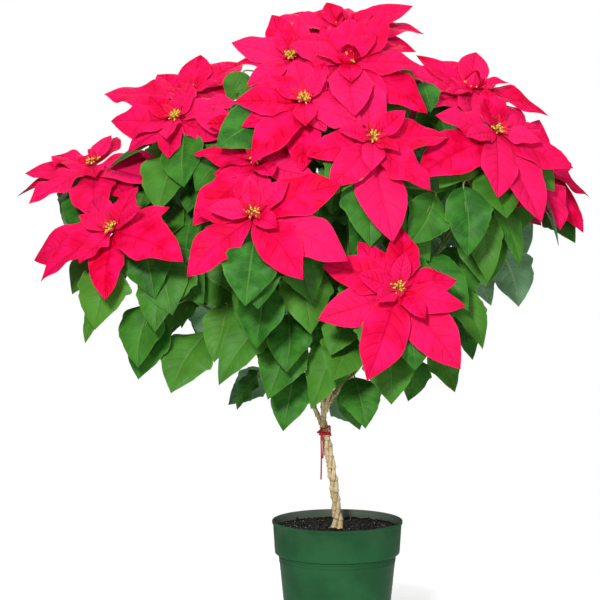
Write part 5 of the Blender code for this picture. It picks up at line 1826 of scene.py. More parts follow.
LONG_BRACT_FORM = BladeForm(
    rows=24, foot=1.02, point=1.06, fold=0.36, bow=0.24, wave=0.20, waves=2.1, twist=30, sway=0.045,
    curl=0.42, jag=0.018, lobe=0.20, lobed=0.55, thickness=0.0005, rib=0.0008)
SHORT_BRACT_FORM = BladeForm(
    rows=18, foot=1.0, point=1.15, fold=0.40, bow=0.22, wave=0.14, waves=1.7, twist=24, sway=0.04,
    curl=0.30, jag=0.012, lobe=0.10, lobed=0.15, thickness=0.0005, rib=0.0006)
BRACTLET_FORM = BladeForm(
    rows=8, foot=0.9, point=1.1, fold=0.45, bow=0.15, wave=0.08, waves=1.0, twist=20, sway=0.05,
    curl=0.25, jag=0.02, lobe=0.0, lobed=0.0, thickness=0.0004, rib=0.0003)
LEAF_FORM = BladeForm(
    rows=24, foot=0.62, point=1.08, fold=0.30, bow=0.24, wave=0.12, waves=2.6, twist=24, sway=0.04,
    curl=0.35, jag=0.030, lobe=0.20, lobed=0.60, thickness=0.0005, rib=0.0009)


@lru_cache
def open_faces(rows: int) -> list[tuple[int, ...]]:
    """The upper faces of a blade of this many rows, without those near its base.

    Args:
        rows: how many rows of points there are before the tip.

    Returns:
        The faces.
    """
    faces, kinds = blade_faces(rows)
    first = round(rows * FREE_FROM) * len(COLUMNS)
    return [face for face, kind in zip(faces, kinds) if kind == 0 and min(face) >= first]


class Fit:
    """Keeps fine blades out of each other: one that would pass through another waves and curls less."""

    def __init__(self) -> None:
        """Starts with nothing standing."""
        self.standing: list[tuple[np.ndarray, np.ndarray, BVHTree]] = []

    def grow(
        self, build: Build, form: BladeForm, blade: Blade, seed: str, kinds: tuple[int, int],
        roll: float = 0.0,
    ) -> None:
        """Adds a fine blade to a piece, with as much of its own movement as it has room for.

        Args:
            build: the piece.
            form: how the blade departs from the plain one.
            blade: the plain blade that it follows.
            seed: what its random draws start from.
            kinds: the numbers of the upper face's and the underside's finish.
            roll: how far it turns round its midrib.
        """
        least = math.inf
        for ease, grown_share in EASES:
            points, places = form.points(blade, seed, ease, grown_share, roll)
            tree = BVHTree.FromPolygons(points.tolist(), open_faces(form.rows))
            low, high = points.min(0), points.max(0)
            met = sum(len(tree.overlap(other)) for other_low, other_high, other in self.standing
                      if (low < other_high).all() and (other_low < high).all())
            if met < least:
                least, kept = met, (points, places, low, high, tree)
            if met == 0:
                break
        points, places, *standing = kept
        self.standing.append(tuple(standing))
        faces, sides = blade_faces(form.rows)
        tone = random.Random(seed + " tone").random()
        build.take(points, faces, [kinds[side] for side in sides], places, tone)


def smoothed(points: Sequence[Vector], rounds: int = 2) -> np.ndarray:
    """A line with its corners cut, its ends kept.

    Args:
        points: the line's points.
        rounds: how often each corner is cut.

    Returns:
        The new points, a row each.
    """
    line = np.array([tuple(point) for point in points])
    for _ in range(rounds):
        quarter = line[:-1] * 0.75 + line[1:] * 0.25
        three = line[:-1] * 0.25 + line[1:] * 0.75
        middle = np.stack((quarter, three), 1).reshape(-1, 3)[1:-1]
        line = np.concatenate((line[:1], middle, line[-1:]))
    return line


def respaced(line: np.ndarray, step: float) -> tuple[np.ndarray, np.ndarray]:
    """A line's points at even distances.

    Args:
        line: the points, a row each.
        step: about how far apart the new ones lie.

    Returns:
        The new points, and how far along the line each lies.
    """
    gone = np.concatenate(([0.0], np.cumsum(np.linalg.norm(np.diff(line, axis=0), axis=1))))
    at = np.linspace(0.0, gone[-1], max(2, round(gone[-1] / step) + 1))
    return np.stack([np.interp(at, gone, line[:, axis]) for axis in range(3)], 1), at


def round_rod(line: np.ndarray, radii: np.ndarray, sides: int) -> tuple[np.ndarray, list[tuple[int, ...]]]:
    """A closed round rod along a line.

    Args:
        line: its points, a row each.
        radii: its radius at each of them.
        sides: how many sides it has.

    Returns:
        Its points, ring by ring and then both ends' middles, and its faces.
    """
    along = unit(np.gradient(line, axis=0))
    side = unit(np.cross(along[0], (0.31, 0.87, 0.39)))
    sideways = []
    for way in along:
        side = unit(side - way * side.dot(way))
        sideways.append(side)
    first = np.array(sideways)
    second = np.cross(along, first)
    turn = np.arange(sides) * (math.tau / sides)
    ring = first[:, None] * np.cos(turn)[None, :, None] + second[:, None] * np.sin(turn)[None, :, None]
    points = (line[:, None] + ring * radii[:, None, None]).reshape(-1, 3)
    points = np.concatenate((points, line[:1], line[-1:]))
    faces: list[tuple[int, ...]] = []
    last = len(line) - 1
    for row in range(last):
        for corner in range(sides):
            after = (corner + 1) % sides
            faces.append((row * sides + corner, row * sides + after, (row + 1) * sides + after,
                          (row + 1) * sides + corner))
    low, high = len(points) - 2, len(points) - 1
    for corner in range(sides):
        after = (corner + 1) % sides
        faces.append((low, after, corner))
        faces.append((high, last * sides + corner, last * sides + after))
    return points, faces


def geometry_tree(
    name: str, sizes: Mapping[str, str]
) -> tuple[bpy.types.NodeTree, Mapping[str, bpy.types.NodeSocket]]:
    """A new geometry tree with named inputs.

    Args:
        name: the tree's name.
        sizes: each input's name and kind of socket, beside the geometry.

    Returns:
        The tree, and its inputs' sockets by name.
    """
    tree = bpy.data.node_groups.new(name, "GeometryNodeTree")
    tree.interface.new_socket("Geometry", in_out="INPUT", socket_type="NodeSocketGeometry")
    for label, kind in sizes.items():
        tree.interface.new_socket(label, in_out="INPUT", socket_type="NodeSocket" + kind)
    tree.interface.new_socket("Geometry", in_out="OUTPUT", socket_type="NodeSocketGeometry")
    return tree, add(tree, "NodeGroupInput").outputs


def finish_tree(
    tree: bpy.types.NodeTree, repeats: bpy.types.Node, material: bpy.types.NodeSocket
) -> bpy.types.NodeTree:
    """Ends a tree: its repeats are made real, shaded smooth and given their material.

    Args:
        tree: the tree.
        repeats: the node that makes them.
        material: the socket that gives the material.

    Returns:
        The tree.
    """
    real = add(tree, "GeometryNodeRealizeInstances", {0: repeats})
    smooth = add(tree, "GeometryNodeSetShadeSmooth", {0: real})
    dressed = add(tree, "GeometryNodeSetMaterial", {0: smooth, "Material": material})
    add(tree, "NodeGroupOutput", {0: dressed})
    return tree


def grown(tree: bpy.types.NodeTree, source: bpy.types.Mesh, values: Mapping[str, Any]) -> bpy.types.Mesh:
    """Runs a geometry tree over a mesh.

    Args:
        tree: the tree.
        source: the mesh that goes in.
        values: the value of each named input.

    Returns:
        The result as a plain mesh.
    """
    holder = bpy.data.objects.new("holder", source)
    modifier = holder.modifiers.new("growth", "NODES")
    modifier.node_group = tree
    for item in tree.interface.items_tree:
        if item.name in values:
            modifier[item.identifier] = values[item.name]
    bpy.context.scene.collection.objects.link(holder)
    ready = holder.evaluated_get(bpy.context.evaluated_depsgraph_get())
    mesh = bpy.data.meshes.new_from_object(ready)
    holder.modifiers.remove(modifier)
    bpy.data.objects.remove(holder)
    return mesh


@lru_cache
def ply_tree() -> bpy.types.NodeTree:
    """Twists three plies round a line: the section is three circles, which turn as they run along it.

    Returns:
        The tree.
    """
    tree, size = geometry_tree("plied yarn", {
        "Ply": "Float", "Away": "Float", "Step": "Float", "Turns": "Float", "Material": "Material"})
    line = add(tree, "GeometryNodeMeshToCurve", {0: size["Geometry"]})
    even = add(tree, "GeometryNodeResampleCurve", {0: line, "Length": size["Step"]}, mode="LENGTH")
    gone = add(tree, "GeometryNodeSplineParameter").outputs["Length"]
    tilt = add(tree, "ShaderNodeMath", {0: gone, 1: size["Turns"]}, operation="MULTIPLY")
    tilted = add(tree, "GeometryNodeSetCurveTilt", {0: even, "Tilt": tilt})
    number = add(tree, "GeometryNodeInputIndex")
    angle = add(tree, "ShaderNodeMath", {0: number, 1: math.tau / 3}, operation="MULTIPLY")
    level = add(tree, "ShaderNodeMath", {0: angle}, operation="COSINE")
    upright = add(tree, "ShaderNodeMath", {0: angle}, operation="SINE")
    way = add(tree, "ShaderNodeCombineXYZ", {0: level, 1: upright})
    seat = add(tree, "ShaderNodeVectorMath", {0: way, "Scale": size["Away"]}, operation="SCALE")
    three = add(tree, "GeometryNodePoints", {"Count": 3, "Position": seat})
    ply = add(tree, "GeometryNodeCurvePrimitiveCircle", {"Resolution": 7, "Radius": size["Ply"]})
    section = add(tree, "GeometryNodeInstanceOnPoints", {"Points": three, "Instance": ply})
    real = add(tree, "GeometryNodeRealizeInstances", {0: section})
    yarn = add(tree, "GeometryNodeCurveToMesh", {0: tilted, 1: real, "Fill Caps": True})
    return finish_tree(tree, yarn, size["Material"])


@lru_cache
def cluster_tree() -> bpy.types.NodeTree:
    """Sets copies of one model on a dome, a golden angle apart, each leaning outwards.

    Returns:
        The tree.
    """
    tree, size = geometry_tree("flower cluster", {
        "Model": "Object", "Count": "Int", "Spread": "Float", "Lean": "Float", "Seed": "Int",
        "Material": "Material"})
    number = add(tree, "GeometryNodeInputIndex")
    half = add(tree, "ShaderNodeMath", {0: number, 1: 0.35}, operation="ADD")
    share = add(tree, "ShaderNodeMath", {0: half, 1: size["Count"]}, operation="DIVIDE")
    out = add(tree, "ShaderNodeMath", {0: share}, operation="SQRT")
    away = add(tree, "ShaderNodeMath", {0: out, 1: size["Spread"]}, operation="MULTIPLY")
    shift = add(tree, "FunctionNodeRandomValue", {2: -0.3, 3: 0.3, "Seed": size["Seed"]}, data_type="FLOAT")
    angle = add(tree, "ShaderNodeMath", {0: number, 1: GOLDEN_ANGLE, 2: shift.outputs[1]},
                operation="MULTIPLY_ADD")
    level = add(tree, "ShaderNodeMath", {0: angle}, operation="COSINE")
    upright = add(tree, "ShaderNodeMath", {0: angle}, operation="SINE")
    way = add(tree, "ShaderNodeCombineXYZ", {0: level, 1: upright})
    seat = add(tree, "ShaderNodeVectorMath", {0: way, "Scale": away}, operation="SCALE")
    points = add(tree, "GeometryNodePoints", {"Count": size["Count"], "Position": seat})
    tip = add(tree, "ShaderNodeMath", {0: out, 1: size["Lean"]}, operation="MULTIPLY")
    bowed = add(tree, "ShaderNodeVectorMath", {0: way, "Scale": tip}, operation="SCALE")
    raised = add(tree, "ShaderNodeVectorMath", {0: bowed, 1: (0.0, 0.0, 1.0)}, operation="ADD")
    leaning = add(tree, "FunctionNodeAlignRotationToVector", {"Vector": raised}, axis="Z")
    # Each model's own +X, where its gland is, points away from the cluster's middle
    about = add(tree, "FunctionNodeAxisAngleToRotation", {"Axis": (0.0, 0.0, 1.0), "Angle": angle})
    turned = add(tree, "FunctionNodeRotateRotation", {0: leaning, 1: about}, rotation_space="LOCAL")
    grow = add(tree, "FunctionNodeRandomValue", {2: 0.95, 3: 1.30, "Seed": size["Seed"]}, data_type="FLOAT")
    copies = add(tree, "GeometryNodeInstanceOnPoints", {
        "Points": points,
        "Instance": add(tree, "GeometryNodeObjectInfo", {0: size["Model"]}).outputs["Geometry"],
        "Rotation": turned, "Scale": grow.outputs[1]})
    return finish_tree(tree, copies, size["Material"])


@lru_cache
def scatter_tree() -> bpy.types.NodeTree:
    """Scatters copies of one model over a surface, each turned and sized at random.

    Returns:
        The tree.
    """
    tree, size = geometry_tree("scattered grains", {
        "Model": "Object", "Density": "Float", "Least": "Float", "Most": "Float", "Seed": "Int",
        "Material": "Material"})
    points = add(tree, "GeometryNodeDistributePointsOnFaces", {
        "Mesh": size["Geometry"], "Density": size["Density"], "Seed": size["Seed"]})
    turn = add(tree, "FunctionNodeRandomValue", {1: (math.tau,) * 3, "Seed": size["Seed"]},
               data_type="FLOAT_VECTOR")
    rotation = add(tree, "FunctionNodeEulerToRotation", {0: turn})
    grow = add(tree, "FunctionNodeRandomValue", {2: size["Least"], 3: size["Most"], "Seed": size["Seed"]},
               data_type="FLOAT")
    copies = add(tree, "GeometryNodeInstanceOnPoints", {
        "Points": points,
        "Instance": add(tree, "GeometryNodeObjectInfo", {0: size["Model"]}).outputs["Geometry"],
        "Rotation": rotation, "Scale": grow.outputs[1]})
    return finish_tree(tree, copies, size["Material"])


def polyline(points: Iterable[Vector]) -> bpy.types.Mesh:
    """A mesh of edges through these points, for a tree to follow.

    Args:
        points: the points.

    Returns:
        The mesh.
    """
    kept = [tuple(point) for point in points]
    mesh = bpy.data.meshes.new("line")
    mesh.from_pydata(kept, [(n, n + 1) for n in range(len(kept) - 1)], [])
    return mesh


def merged(name: str, meshes: Sequence[bpy.types.Mesh]) -> bpy.types.Mesh:
    """One mesh of several, whose materials are kept.

    Args:
        name: the new mesh's name.
        meshes: what is joined.

    Returns:
        The joined mesh.
    """
    form = bmesh.new()
    materials: list[bpy.types.Material] = []
    for mesh in meshes:
        first = len(form.faces)
        form.from_mesh(mesh)
        form.faces.ensure_lookup_table()
        numbers = []
        for material in mesh.materials:
            if material not in materials:
                materials.append(material)
            numbers.append(materials.index(material))
        for face in form.faces[first:]:
            face.material_index = numbers[min(face.material_index, len(numbers) - 1)]
    made = mesh_of(name, form)
    for material in materials:
        made.materials.append(material)
    return made


@dataclass(frozen=True)
class Tie:
    """The red tie: plied yarn wound three times round the stems, knotted, with two loose ends."""

    height: float = 0.327
    spacing: float = 0.00285
    radius: float = 0.0011
    room: float = 0.0006
    windings: int = 3
    winding_steps: int = 200
    slant: float = 0.0080
    slant_from: float = 0.9
    slant_out: float = 1.5
    slant_sink: float = 0.8
    knot_radius: float = 0.0029
    knot_stretch: float = 1.7
    knot_out: float = 0.4
    knot_way: tuple[float, float, float] = (-0.42, -0.90, 0.0)
    knot_steps: int = 60
    loop_width: float = 0.0013
    loop_ripple: float = 0.0004
    loop_depth: float = 0.0012
    loop_back: float = 0.0002
    loop_height: float = 0.0042
    ends: tuple[tuple[str, float, float], ...] = (
        ("tie_end_long", 0.067, -0.0012), ("tie_end_short", 0.034, 0.0015))
    end_back: float = 0.0004
    end_sway: float = 0.0006
    end_points: int = 24
    ply: float = 0.00080
    away: float = 0.00066
    step: float = 0.0009
    twist: float = 1500.0
    end_share: float = 0.95
    knot_share: float = 1.05

    def major(self) -> float:
        """The radius of the turns: just clear of the three stems."""
        return (2 * STEM_RADIUS + STEM_GAP) / math.sqrt(3) + STEM_RADIUS + self.radius + self.room

    def knot_place(self) -> Vector:
        """The middle of the knot, in front of the turns."""
        reach = self.major() + self.radius + self.knot_radius * self.knot_out
        return trunk_line(self.height) + Vector(self.knot_way).normalized() * reach

    def yarn(self, points: Iterable[Vector], share: float = 1.0) -> bpy.types.Mesh:
        """Makes plied yarn along a line.

        Args:
            points: the line.
            share: its thickness, as a share of that of the turns.

        Returns:
            The yarn's mesh.
        """
        return grown(ply_tree(), polyline(points), {
            "Ply": self.ply * share, "Away": self.away * share, "Step": self.step, "Turns": self.twist,
            "Material": TIE_YARN.material()})

    def end_path(self, length: float, across: float) -> list[Vector]:
        """The line of a loose end, which hangs from under the knot.

        Args:
            length: the end's length.
            across: how far to the right of the knot's middle it hangs.

        Returns:
            The line's points.
        """
        reach = self.knot_radius * self.knot_stretch + JOINT_GAP
        top = self.knot_place() + Vector((across, -self.end_back, -reach))
        shares = [n / self.end_points for n in range(self.end_points + 1)]
        return [top + Vector((self.end_sway * math.sin(math.pi * s), 0.0, -length * s)) for s in shares]

    def make_ends(self) -> None:
        """The two loose ends, as free cords."""
        for name, length, across in self.ends:
            path = self.end_path(length, across)
            piece = placed("yarn_" + name, self.yarn(path, self.end_share))
            settle(piece, name)

    def turns(self) -> list[Vector]:
        """The line of the wound yarn, pulled tight round the three stems.

        Returns:
            The line's points.
        """
        stems = [stem_point(number, self.height) - trunk_line(self.height) for number in range(3)]
        line = []
        for step in range(self.winding_steps + 1):
            angle = math.tau * self.windings * step / self.winding_steps
            way = Vector((math.cos(angle), math.sin(angle), 0.0))
            near = max(stems, key=way.dot)
            flat = near + way * (STEM_RADIUS + self.radius + self.room)
            gone = self.windings * step / self.winding_steps
            rise = self.spacing * (gone - self.windings / 2)
            # The last turn lies slanted over the others, high at the right and a little low at the left
            over = max(0.0, gone - (self.windings - 1))
            over = min(1.0, over * 4) * min(1.0, (1.0 - over) * 4 + 0.2) if over else 0.0
            flat = flat + way * self.radius * self.slant_out * over
            slant = over * (self.slant * (way.x + self.slant_from) - rise * self.slant_sink)
            line.append(trunk_line(self.height + rise) + Vector((flat.x, flat.y, slant)))
        return line

    def knot(self) -> list[Vector]:
        """The line of the knot: two small loops drawn over each other.

        Returns:
            The line's points.
        """
        place = self.knot_place()
        line = []
        for step in range(self.knot_steps + 1):
            turn = math.tau * 2 * step / self.knot_steps
            drawn_in = 1 - 0.4 * step / self.knot_steps
            line.append(place + Vector((
                self.loop_width * math.cos(turn) + self.loop_ripple * math.cos(2.5 * turn),
                self.loop_depth * math.sin(2 * turn) - self.loop_back,
                self.loop_height * math.sin(turn + 0.5) * drawn_in)))
        return line

    def make(self) -> None:
        """The turns and the knot."""
        wound = merged("wound_tie", [self.yarn(self.turns()), self.yarn(self.knot(), self.knot_share)])
        settle(placed("wound_tie", wound), "tie")


@dataclass(frozen=True)
class Pot:
    """The nursery pot: a thin moulded wall with a deep band, a rolled rim and four drain holes."""

    height: float = 0.190
    rim_radius: float = 0.1015
    band_low_radius: float = 0.0970
    band_height: float = 0.051
    body_top_radius: float = 0.0915
    base_radius: float = 0.0770
    wall: float = 0.0020
    floor: float = 0.0030
    foot_bevel: float = 0.0030
    foot_ring: float = 0.012
    foot_recess: float = 0.0012
    rim_round: float = 0.0012
    inner_round: float = 0.0008
    lip_drop: float = 0.0042
    inner_drop: float = 0.004
    drain_holes: int = 4
    drain_radius: float = 0.0055
    drain_circle: float = 0.058
    sides: int = 144
    body_steps: int = 26
    body_span: tuple[float, float] = (0.03, 0.93)
    band_steps: int = 12
    ridges: int = 5
    ridge_depth: float = 0.00035
    ridge_from: float = 0.900
    ridge_pitch: float = 0.018
    ridge_shape: Stations = ((0.0, 0.0), (0.3, 1.0), (0.6, 1.0), (0.9, 0.0))

    def band_foot(self) -> float:
        """The height of the band's lower edge."""
        return self.height - self.band_height

    def body(self, share: float) -> tuple[float, float]:
        """The outer wall's radius and height at a share of the way from foot to band."""
        return self.base_radius + (self.body_top_radius - self.base_radius) * share, self.band_foot() * share

    def outside(self) -> list[tuple[float, float]]:
        """The outer side from the axis to the rim's top.

        Returns:
            Its points, as (radius, height).
        """
        ring = self.base_radius - self.foot_ring
        line = [(0.0, self.foot_recess), (ring, self.foot_recess), (ring + 0.0015, 0.0)]
        for step in range(5):
            turn = math.pi / 2 * step / 4
            line.append((self.base_radius - self.foot_bevel * (1 - math.sin(turn)),
                         self.foot_bevel * (1 - math.cos(turn))))
        first, span = self.body_span
        wall = [self.body(first + span * step / self.body_steps) for step in range(1, self.body_steps + 1)]
        # Faint rings just under the band, where the wall is stiffened
        for ridge, (part, rise) in product(range(self.ridges), self.ridge_shape):
            radius, level = self.body(self.ridge_from + self.ridge_pitch * (ridge + part))
            wall.append((radius + self.ridge_depth * rise, level))
        line += sorted(wall, key=lambda point: point[1])
        low, foot = self.band_low_radius, self.band_foot()
        line += [(self.body_top_radius, foot - 0.0004), (self.body_top_radius + 0.0006, foot)]
        line += [(low - 0.0008, foot), (low, foot + 0.0009)]
        lip_radius = self.rim_radius - self.rim_round
        for step in range(1, self.band_steps):
            share = step / self.band_steps
            line.append((low + (lip_radius - low) * share, foot + self.band_height * share))
        lip = self.height - self.lip_drop
        line += [(lip_radius, lip - self.rim_round), (self.rim_radius - 0.0002, lip - 0.0002)]
        for step in range(6):
            turn = math.pi / 2 * step / 5
            line.append((lip_radius + self.rim_round * math.cos(turn),
                         self.height - self.rim_round + self.rim_round * math.sin(turn)))
        return line

    def inside(self) -> list[tuple[float, float]]:
        """The inner side from the rim's top to the axis.

        Returns:
            Its points, as (radius, height).
        """
        line = []
        for step in range(1, 6):
            turn = math.pi / 2 * step / 5
            line.append((self.rim_radius - self.wall + self.inner_round * (1 - math.sin(turn)),
                         self.height - self.inner_round * (1 - math.cos(turn))))
        foot = self.base_radius - self.wall
        return line + [
            (self.rim_radius - self.wall, self.height - self.inner_drop),
            (self.band_low_radius - self.wall, self.band_foot() + self.wall),
            (self.body_top_radius - self.wall, self.band_foot()),
            (foot + 0.001, self.floor + 0.003), (foot - 0.002, self.floor), (0.0, self.floor)]

    def drill(self, pot: bpy.types.Object) -> None:
        """Cuts the drain holes.

        Args:
            pot: the pot.
        """
        for number in range(self.drain_holes):
            angle = math.tau * (number + 0.5) / self.drain_holes
            form = bmesh.new()
            place = Matrix.Translation((self.drain_circle * math.cos(angle),
                                        self.drain_circle * math.sin(angle), 0.0))
            bmesh.ops.create_cone(form, cap_ends=True, segments=40, radius1=self.drain_radius,
                                  radius2=self.drain_radius, depth=4 * self.floor, matrix=place)
            hole = pot.modifiers.new("drain", "BOOLEAN")
            hole.operation = "DIFFERENCE"
            hole.object = placed("drain", mesh_of("drain", form))
        pot.data = bpy.data.meshes.new_from_object(pot.evaluated_get(bpy.context.evaluated_depsgraph_get()))
        for hole in list(pot.modifiers):
            bpy.data.objects.remove(hole.object)
        pot.modifiers.clear()

    def make(self) -> None:
        """Turns the wall, drills it, and marks its inner side above the soil."""
        pot = placed("moulded_pot", turned("moulded_pot", self.outside() + self.inside(), self.sides))
        self.drill(pot)
        made = pot.data
        made.materials.clear()
        made.materials.append(POT_WALL.material())
        made.polygons.foreach_set("use_smooth", [True] * len(made.polygons))
        made.set_sharp_from_angle(angle=math.radians(38))
        places = np.zeros(3 * len(made.vertices))
        made.vertices.foreach_get("co", places)
        x, y, z = places.reshape(-1, 3).T
        band_share = (z - self.height) / self.band_height + 1.0
        outer = self.band_low_radius + (self.rim_radius - self.band_low_radius) * band_share
        inner = (band_share > 0.5) & (np.hypot(x, y) < outer - 0.8 * self.wall)
        made.attributes.new("tone", "FLOAT", "POINT").data.foreach_set("value", inner.astype(np.float32))
        settle(pot, "pot")


def turned(name: str, profile: Sequence[tuple[float, float]], sides: int) -> bpy.types.Mesh:
    """Turns a profile that begins and ends on the axis.

    Args:
        name: the mesh's name.
        profile: its (radius, height) points, up the outside and down the inside.
        sides: how many sides the round has.

    Returns:
        The closed mesh.
    """
    form = bmesh.new()
    line = [form.verts.new((radius, 0.0, height)) for radius, height in profile]
    edges = [form.edges.new(pair) for pair in zip(line, line[1:])]
    bmesh.ops.spin(form, geom=line + edges, axis=(0, 0, 1), cent=(0, 0, 0), angle=math.tau, steps=sides)
    bmesh.ops.remove_doubles(form, verts=form.verts, dist=0.000001)
    bmesh.ops.recalc_face_normals(form, faces=form.faces)
    return mesh_of(name, form)


@dataclass(frozen=True)
class Grain:
    """A kind of grain on the soil: its shape, how many lie on a square metre, and how large they are."""

    name: str
    finish: Finish
    stretch: tuple[float, float, float]
    density: float
    least: float
    most: float
    seed: int

    def model(self) -> bpy.types.Object:
        """Makes one rough grain a metre across, to be repeated small.

        Returns:
            The grain, which stays outside the scene.
        """
        form = bmesh.new()
        bmesh.ops.create_icosphere(form, subdivisions=1, radius=0.5)
        draw = random.Random(self.seed)
        for vertex in form.verts:
            vertex.co *= draw.uniform(0.65, 1.15)
            vertex.co = Vector(a * b for a, b in zip(vertex.co, self.stretch))
        return bpy.data.objects.new(self.name, mesh_of(self.name, form))


GRAINS: tuple[Grain, ...] = (
    Grain("crumbs", CRUMB, (1.0, 0.8, 0.7), 62000.0, 0.0012, 0.0040, 3),
    Grain("chips", CHIP, (1.6, 0.7, 0.35), 5000.0, 0.0030, 0.0078, 5),
    # The white grit is real perlite, and also painted glints of the wet soil
    Grain("grit", GRIT_AND_PAINTED_GLINTS, (1.0, 0.9, 0.8), 2300.0, 0.0012, 0.0030, 7),
)


@dataclass(frozen=True)
class Soil:
    """The potting mix: a lumpy body under a surface of crumbs, bark chips and white grit."""

    pot: Pot
    gap: float = 0.0004
    lump: float = 0.0016
    wave: float = 105.0
    fine_lump: float = 0.0016
    fine_rate: float = 90.0
    sunk: float = 0.0006
    rings: int = 44
    sides: int = 120

    def level(self, x: float, y: float) -> float:
        """The surface's height: the solid's lumps, with finer ones on them.

        Args:
            x: the place's distance to the right of the pot's axis.
            y: its distance behind the axis.

        Returns:
            The height there.
        """
        rise = math.sin(math.pi * min(1.0, math.hypot(x, y) / self.pot.rim_radius))
        broad = self.lump * rise * math.sin(self.wave * x + y) * math.cos(self.wave * y)
        fine = noise.fractal(Vector((x, y, 0.0)) * self.fine_rate, 0.8, 2.1, 4)
        return SOIL_TOP + broad + self.fine_lump * fine - self.sunk

    def surface(self, edge: float) -> bpy.types.Mesh:
        """The top of the soil alone, for the grains to lie on.

        Args:
            edge: its radius.

        Returns:
            Its mesh.
        """
        points = [(0.0, 0.0, self.level(0.0, 0.0))]
        for ring, side in product(range(1, self.rings + 1), range(self.sides)):
            turn = math.tau * side / self.sides
            x, y = (edge * ring / self.rings * way for way in (math.cos(turn), math.sin(turn)))
            points.append((x, y, self.level(x, y)))
        faces: list[tuple[int, ...]] = []
        for side in range(self.sides):
            after = (side + 1) % self.sides
            faces.append((0, 1 + side, 1 + after))
            for near in range(1, 1 + (self.rings - 1) * self.sides, self.sides):
                far = near + self.sides
                faces.append((near + side, far + side, far + after, near + after))
        mesh = bpy.data.meshes.new("soil_surface")
        mesh.from_pydata(points, [], faces)
        return mesh

    def make(self) -> None:
        """The body, and three kinds of grain on it."""
        pot = self.pot
        inset = pot.wall + self.gap
        share = (SOIL_TOP - pot.band_foot()) / pot.band_height
        edge = pot.band_low_radius - inset + (pot.rim_radius - pot.band_low_radius) * share
        low, foot = pot.floor + self.gap, pot.base_radius - inset
        shoulder = pot.band_foot() - self.gap
        profile = [
            (0.0, low), (foot - 0.002, low), (foot, low + 0.003), (pot.body_top_radius - inset, shoulder),
            (pot.band_low_radius - inset, shoulder + 2 * inset), (edge, SOIL_TOP)]
        profile += [(edge * ring / self.rings, SOIL_TOP) for ring in range(self.rings - 1, -1, -1)]
        body = turned("soil_body", profile, self.sides)
        for vertex in body.vertices:
            if vertex.co.z > SOIL_TOP - 0.00001:
                vertex.co.z = self.level(vertex.co.x, vertex.co.y)
        body.materials.append(PEAT.material())
        body.polygons.foreach_set("use_smooth", [True] * len(body.polygons))
        top = self.surface(edge - 0.001)
        grains = [grown(scatter_tree(), top, {
            "Model": grain.model(), "Density": grain.density, "Least": grain.least, "Most": grain.most,
            "Seed": grain.seed, "Material": grain.finish.material()}) for grain in GRAINS]
        settle(placed("potting_mix", merged("potting_mix", [body, *grains])), "soil")


@dataclass(frozen=True)
class Stem:
    """One of the three twisted stems with its woody branches: bark with swollen nodes."""

    number: int
    sides: int = 14
    step: float = 0.0016
    node_pitch: float = 0.0145
    node_swell: float = 0.00115
    relief: float = 0.00040
    rough_rates: tuple[float, float] = (260.0, 120.0)

    def fine_line(
        self, points: Sequence[Vector], radii: Sequence[float]
    ) -> tuple[np.ndarray, np.ndarray, np.ndarray]:
        """A rod's line with rounded corners and even steps, with a node every so often.

        Args:
            points: the plain rod's points.
            radii: its radius at each of them.

        Returns:
            The line's points, and the radius and the darkness of the bark at each.
        """
        line, gone = respaced(smoothed(points, 3), self.step)
        lengths = np.cumsum([0.0] + [(b - a).length for a, b in zip(points, points[1:])])
        radius = np.interp(gone, lengths, radii)
        # A node is a rounded swelling with a groove under it, and no two are the same distance apart
        phase = gone / self.node_pitch + 0.23 * np.sin(gone * 61.0 + self.number) + self.number * 0.37
        beat = phase - np.floor(phase)
        swell = np.exp(-(((beat - 0.5) / 0.13) ** 2)) - 0.45 * np.exp(-(((beat - 0.30) / 0.07) ** 2))
        # The bark is darker in the groove under each node
        return line, radius + self.node_swell * swell, 0.85 * np.exp(-(((beat - 0.33) / 0.055) ** 2))

    def make(self) -> None:
        """The stem and its branches, with the bark's relief."""
        build = Build([TRUNK_BARK])
        for points, radii in stem_rods(self.number):
            line, radius, groove_darkness = self.fine_line(points, radii)
            form, faces = round_rod(line, radius, self.sides)
            axis = np.concatenate((np.repeat(line, self.sides, 0), line[:1], line[-1:]))
            out = unit(form - axis)
            around, along = self.rough_rates
            rough = np.array([
                noise.fractal(Vector((x * around, y * around, z * along)), 0.9, 2.0, 3) for x, y, z in form])
            rough[-2:] = 0.0
            dark = np.concatenate((np.repeat(groove_darkness, self.sides), (0.0, 0.0)))
            dark = dark * np.clip(0.75 + 0.9 * rough, 0.0, 1.0)
            build.take(form + out * (rough * self.relief)[:, None], faces, [0] * len(faces), tone=dark)
        settle(build.piece(f"bark_{self.number + 1}"), f"stem_{self.number + 1}")


def light_roll(blade: Blade) -> float:
    """How far a leaf has turned one of its faces, the nearer one, towards the window that the plant grew at.

    Args:
        blade: the plain leaf.

    Returns:
        The angle round its midrib.
    """
    across, up = blade.frame(0.5)
    angle = math.atan2(across.dot(Vector(WINDOW)), up.dot(Vector(WINDOW)))
    if abs(angle) > math.pi / 2:
        angle -= math.copysign(math.pi, angle)
    return max(-MOST_ROLL, min(MOST_ROLL, -angle * WINDOW_SHARE))


